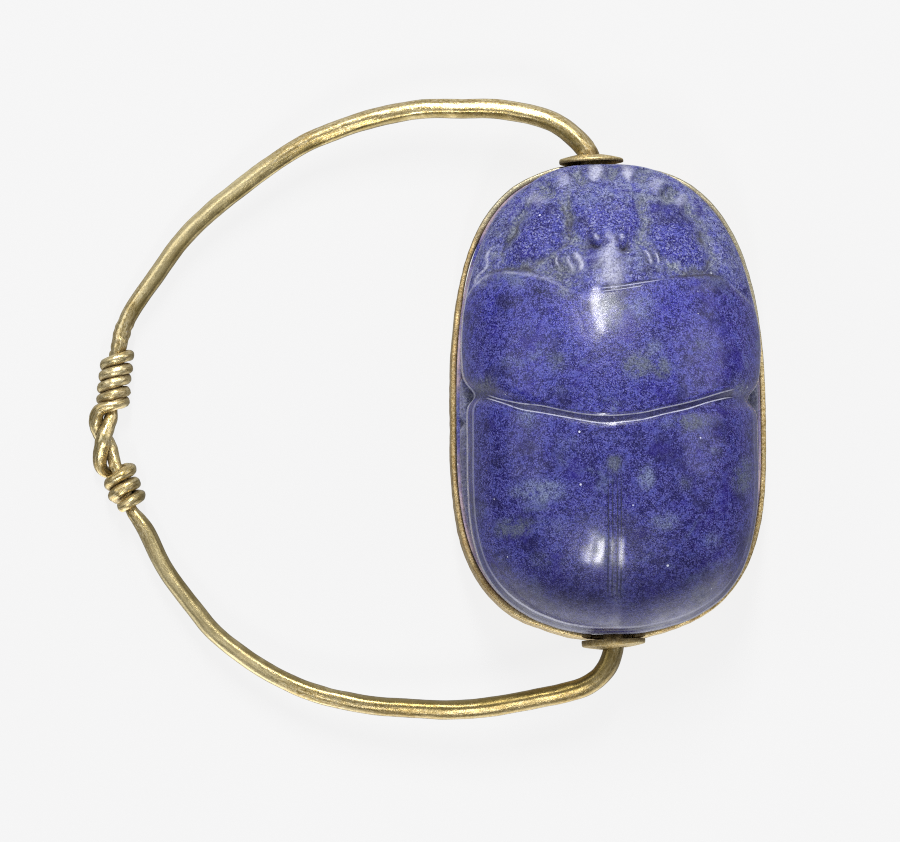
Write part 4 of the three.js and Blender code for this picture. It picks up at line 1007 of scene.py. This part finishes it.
def gold(name, along=False, bright=False):
    p = Paint(name)
    at = p.space()
    if along:
        run = p.space(scale=1.0, source=p.attr("along", "Vector"))
    else:
        run = p.space(scale=(1000.0, 1000.0, 350.0))
    tone = p.noise(at, 0.55, 4, 0.6)
    stain = p.noise(p.space(shift=(4.0, 9.0, 2.0)), 0.9, 5, 0.65, warp=0.3)
    lines = p.noise(run, 9.0, 4, 0.62)
    fine = p.noise(at, 9.0, 3, 0.7)
    speck = p.noise(p.space(scale=(1.0, 1.0, 4.0), source=p.attr("along", "Vector")) if along else p.space(shift=(2.0, 3.0, 8.0)), 15.0, 2, 0.8)
    lift = 1.12 if along else 1.05
    tint = lambda r, g, b: (min(1.0, r * lift), min(1.0, g * lift), min(1.0, b * lift))
    col = p.mix(p.ramp(tone, 0.35, 0.65), *(((0.640, 0.470, 0.190), (0.800, 0.650, 0.340)) if along or bright else ((0.520, 0.365, 0.150), (0.680, 0.520, 0.255))))
    col = p.mix(p.ramp(lines, 0.46, 0.66, 0, 0.58), col, tint(0.830, 0.720, 0.430))
    col = p.mix(p.ramp(lines, 0.48, 0.32, 0, 0.60), col, tint(0.330, 0.245, 0.068))
    col = p.mix(p.ramp(stain, 0.55, 0.74, 0, 0.50), col, (0.400, 0.225, 0.095))
    col = p.mix(p.ramp(stain, 0.45, 0.28, 0, 0.35), col, (0.420, 0.390, 0.170))
    col = p.mix(p.ramp(fine, 0.50, 0.28, 0, 0.45), col, (0.300, 0.200, 0.060))
    grit = 1.0 if along else 0.6
    col = p.mix(p.ramp(speck, 0.50, 0.32, 0, 0.75 * grit), col, (0.185, 0.130, 0.028))
    col = p.mix(p.ramp(speck, 0.52, 0.68, 0, 0.60 * grit), col, (0.980, 0.920, 0.700))
    xyz = p.t.nodes.new("ShaderNodeSeparateXYZ")
    p.t.links.new(at, xyz.inputs[0])
    if along:
        # duller below the stone, cleaner round the far side
        below = p.math("MULTIPLY", p.ramp(xyz.outputs[0], -12.0, -9.0), p.ramp(xyz.outputs[1], -9.0, -10.5))
        col = p.mix(p.math("MULTIPLY", below, 0.65), col, (0.250, 0.180, 0.070))
        col = p.mix(p.math("MULTIPLY", p.ramp(xyz.outputs[0], -12.0, -14.5, 0, 0.55), p.ramp(xyz.outputs[0], -18.7, -17.9)), col, (0.930, 0.800, 0.450))
        # the hollow side of the hoop is stained, the outside rubbed clean
        worn = p.math("MULTIPLY", p.attr("inner"), p.ramp(stain, 0.30, 0.60, 0.55, 1.0), True)
        col = p.mix(p.math("MULTIPLY", worn, 0.85), col, (0.205, 0.150, 0.040))
    elif not bright:
        # the band: brown along the left, dull and grey round the right of the head
        col = p.mix(p.ramp(xyz.outputs[0], -3.5, -5.3, 0, 0.30), col, (0.360, 0.220, 0.090))
        dull = p.math("MULTIPLY", p.ramp(xyz.outputs[0], 0.3, 2.5), p.ramp(xyz.outputs[1], 0.5, 4.0))
        dull = p.math("MULTIPLY", p.math("MAXIMUM", dull, p.ramp(xyz.outputs[1], 5.5, 7.5)), p.ramp(xyz.outputs[2], 1.7, 2.1))
        col = p.mix(p.math("MULTIPLY", dull, 0.75), col, (0.360, 0.345, 0.260))
    # grime and painted shade, mixed towards dark brown
    grime_and_shade = p.math("MULTIPLY", p.attr("grime_and_shade"), p.ramp(fine, 0.25, 0.60, 0.45, 1.0), True)
    col = p.mix(p.math("MULTIPLY", grime_and_shade, 0.92 if bright else 0.80), col, (0.075, 0.046, 0.018) if bright else (0.120, 0.072, 0.026))
    p.put(p.bsdf.inputs["Base Color"], col)
    p.bsdf.inputs["Metallic"].default_value = 0.88 if along else 0.85
    rough = p.ramp(lines, 0.25, 0.75, 0.26, 0.40) if along else p.ramp(lines, 0.25, 0.75, 0.36, 0.52)
    rough = p.math("ADD", rough, p.math("MULTIPLY", p.ramp(stain, 0.5, 0.75), 0.12))
    rough = p.math("ADD", rough, p.math("MULTIPLY", grime_and_shade, 0.25))
    p.put(p.bsdf.inputs["Roughness"], rough)
    n1 = p.bump(lines, 0.30, 0.00003)
    n2 = p.bump(speck, 0.35, 0.000018, p.bump(fine, 0.30, 0.000014, n1))
    p.put(p.bsdf.inputs["Normal"], n2)
    return p.m


# ---------------------------------------------------------------- pieces
stone = scarab()
band = bezel()
cap_head = washer("washer_head_cap", 9.2, 0.18, 1, 4, 0.17)
cap_tail = washer("washer_tail_cap", -9.63, 0.27, -1, 7, 0.08)
wire = hoop()

stone.data.materials.clear()
stone.data.materials.append(lapis())
gold_cap, gold_wire = gold("gold_cap", bright=True), gold("gold_wire", True)
band.data.materials.append(gold("gold_sheet"))
for ob in (cap_head, cap_tail):
    ob.data.materials.append(gold_cap)
wire.data.materials.append(gold_wire)

for ob, body, node, slot in ((stone, "setting", "scarab", "lapis"), (band, "setting", "bezel", "gold"),
                             (cap_head, "setting", "washer_head", "gold"), (cap_tail, "setting", "washer_tail", "gold"),
                             (wire, "hoop", "hoop", "gold")):
    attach(ob, body)
    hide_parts(node)

# ---------------------------------------------------------------- floor, light, camera
scene = bpy.context.scene
floor = make("floor", [(-600, -600, -0.02), (600, -600, -0.02), (600, 600, -0.02), (-600, 600, -0.02)], [(0, 1, 2, 3)], smooth=False)
fp = Paint("floor_paper")
fp.put(fp.bsdf.inputs["Base Color"], fp.mix(fp.ramp(fp.noise(fp.space(), 0.05, 2, 0.5), 0.3, 0.7), (0.058, 0.058, 0.058), (0.062, 0.062, 0.062)))
fp.bsdf.inputs["Roughness"].default_value = 0.9
fp.bsdf.inputs["Specular IOR Level"].default_value = 0.0
fp.bsdf.inputs["Emission Color"].default_value = (1.0, 1.0, 1.0, 1.0)
fp.bsdf.inputs["Emission Strength"].default_value = 0.838
floor.data.materials.append(fp.m)
floor.visible_glossy = False


def softbox(name, aim, direction, distance, size, power, tint=(1, 1, 1)):
    lamp = bpy.data.lights.new(name, "AREA")
    lamp.shape = "RECTANGLE"
    lamp.size, lamp.size_y = size[0] * MM, size[1] * MM
    lamp.energy = power
    lamp.color = tint
    ob = bpy.data.objects.new(name, lamp)
    d = Vector(direction).normalized()
    ob.location = (Vector(aim) + d * distance) * MM
    ob.rotation_euler = d.to_track_quat("Z", "Y").to_euler()
    scene.collection.objects.link(ob)
    return ob


softbox("box_head", (0, 0, 4), (-0.055, 0.86, 1.0), 1000, (105, 450), 7.8)
softbox("box_tail", (0, 0, 4), (-0.055, -0.89, 1.0), 1000, (55, 235), 3.4)
softbox("box_left", (0, 0, 4), (-1.5, 0.5, 1.0), 1000, (600, 700), 1.7)
softbox("box_right", (0, 0, 4), (1.6, 0.5, 0.9), 1000, (500, 700), 2.0)

# a pale tent overhead, dark towards the horizon, paler again beyond the tail
world = bpy.data.worlds.new("studio")
scene.world = world
world.use_nodes = True
wt = world.node_tree
bg = wt.nodes["Background"]
way = wt.nodes.new("ShaderNodeTexCoord")
axes = wt.nodes.new("ShaderNodeSeparateXYZ")
wt.links.new(way.outputs["Generated"], axes.inputs[0])


def band_of(socket, a, b, lo, hi):
    n = wt.nodes.new("ShaderNodeMapRange")
    n.interpolation_type = "SMOOTHSTEP"
    wt.links.new(socket, n.inputs[0])
    for i, v in enumerate((a, b, lo, hi)):
        n.inputs[i + 1].default_value = v
    return n.outputs[0]


def joined(op, a, b):
    n = wt.nodes.new("ShaderNodeMath")
    n.operation = op
    wt.links.new(a, n.inputs[0])
    wt.links.new(b, n.inputs[1])
    return n.outputs[0]


tent = band_of(axes.outputs[2], 0.0, 0.80, 0.04, 0.30)
wall = band_of(axes.outputs[1], 0.30, 0.85, 0.0, 0.45)
sheen = joined("MULTIPLY", band_of(axes.outputs[1], -0.25, -0.85, 0.0, 1.0), band_of(axes.outputs[2], 0.25, -0.35, 0.0, 2.3))
below = band_of(axes.outputs[2], -0.05, -0.45, 0.0, 0.26)
wt.links.new(joined("ADD", joined("ADD", tent, wall), joined("ADD", sheen, below)), bg.inputs[1])
bg.inputs[0].default_value = (0.97, 0.98, 1.0, 1.0)

cam_data = bpy.data.cameras.new("camera")
cam = bpy.data.objects.new("camera", cam_data)
scene.collection.objects.link(cam)
cam_pos, cam_aim, roll = Vector((-14.5, -20.5, 300.0)), Vector((-6.231, -0.788, 0.0)), math.radians(0.64)
look = (cam_aim - cam_pos).normalized()
right = look.cross(Vector((math.sin(roll), math.cos(roll), 0))).normalized()
up = right.cross(look)
cam.matrix_world = Matrix.Translation(cam_pos * MM) @ Matrix((right, up, -look)).transposed().to_4x4()
cam_data.sensor_width = 36.0
cam_data.lens = 36.0 * 300.7606 / (900 * 0.0397)
cam_data.clip_start, cam_data.clip_end = 0.01, 10.0
scene.camera = cam
scene.view_settings.view_transform = "Standard"
scene.cycles.use_denoising = False          # it would smear the grain of the stone
scene.cycles.filter_width = 1.1
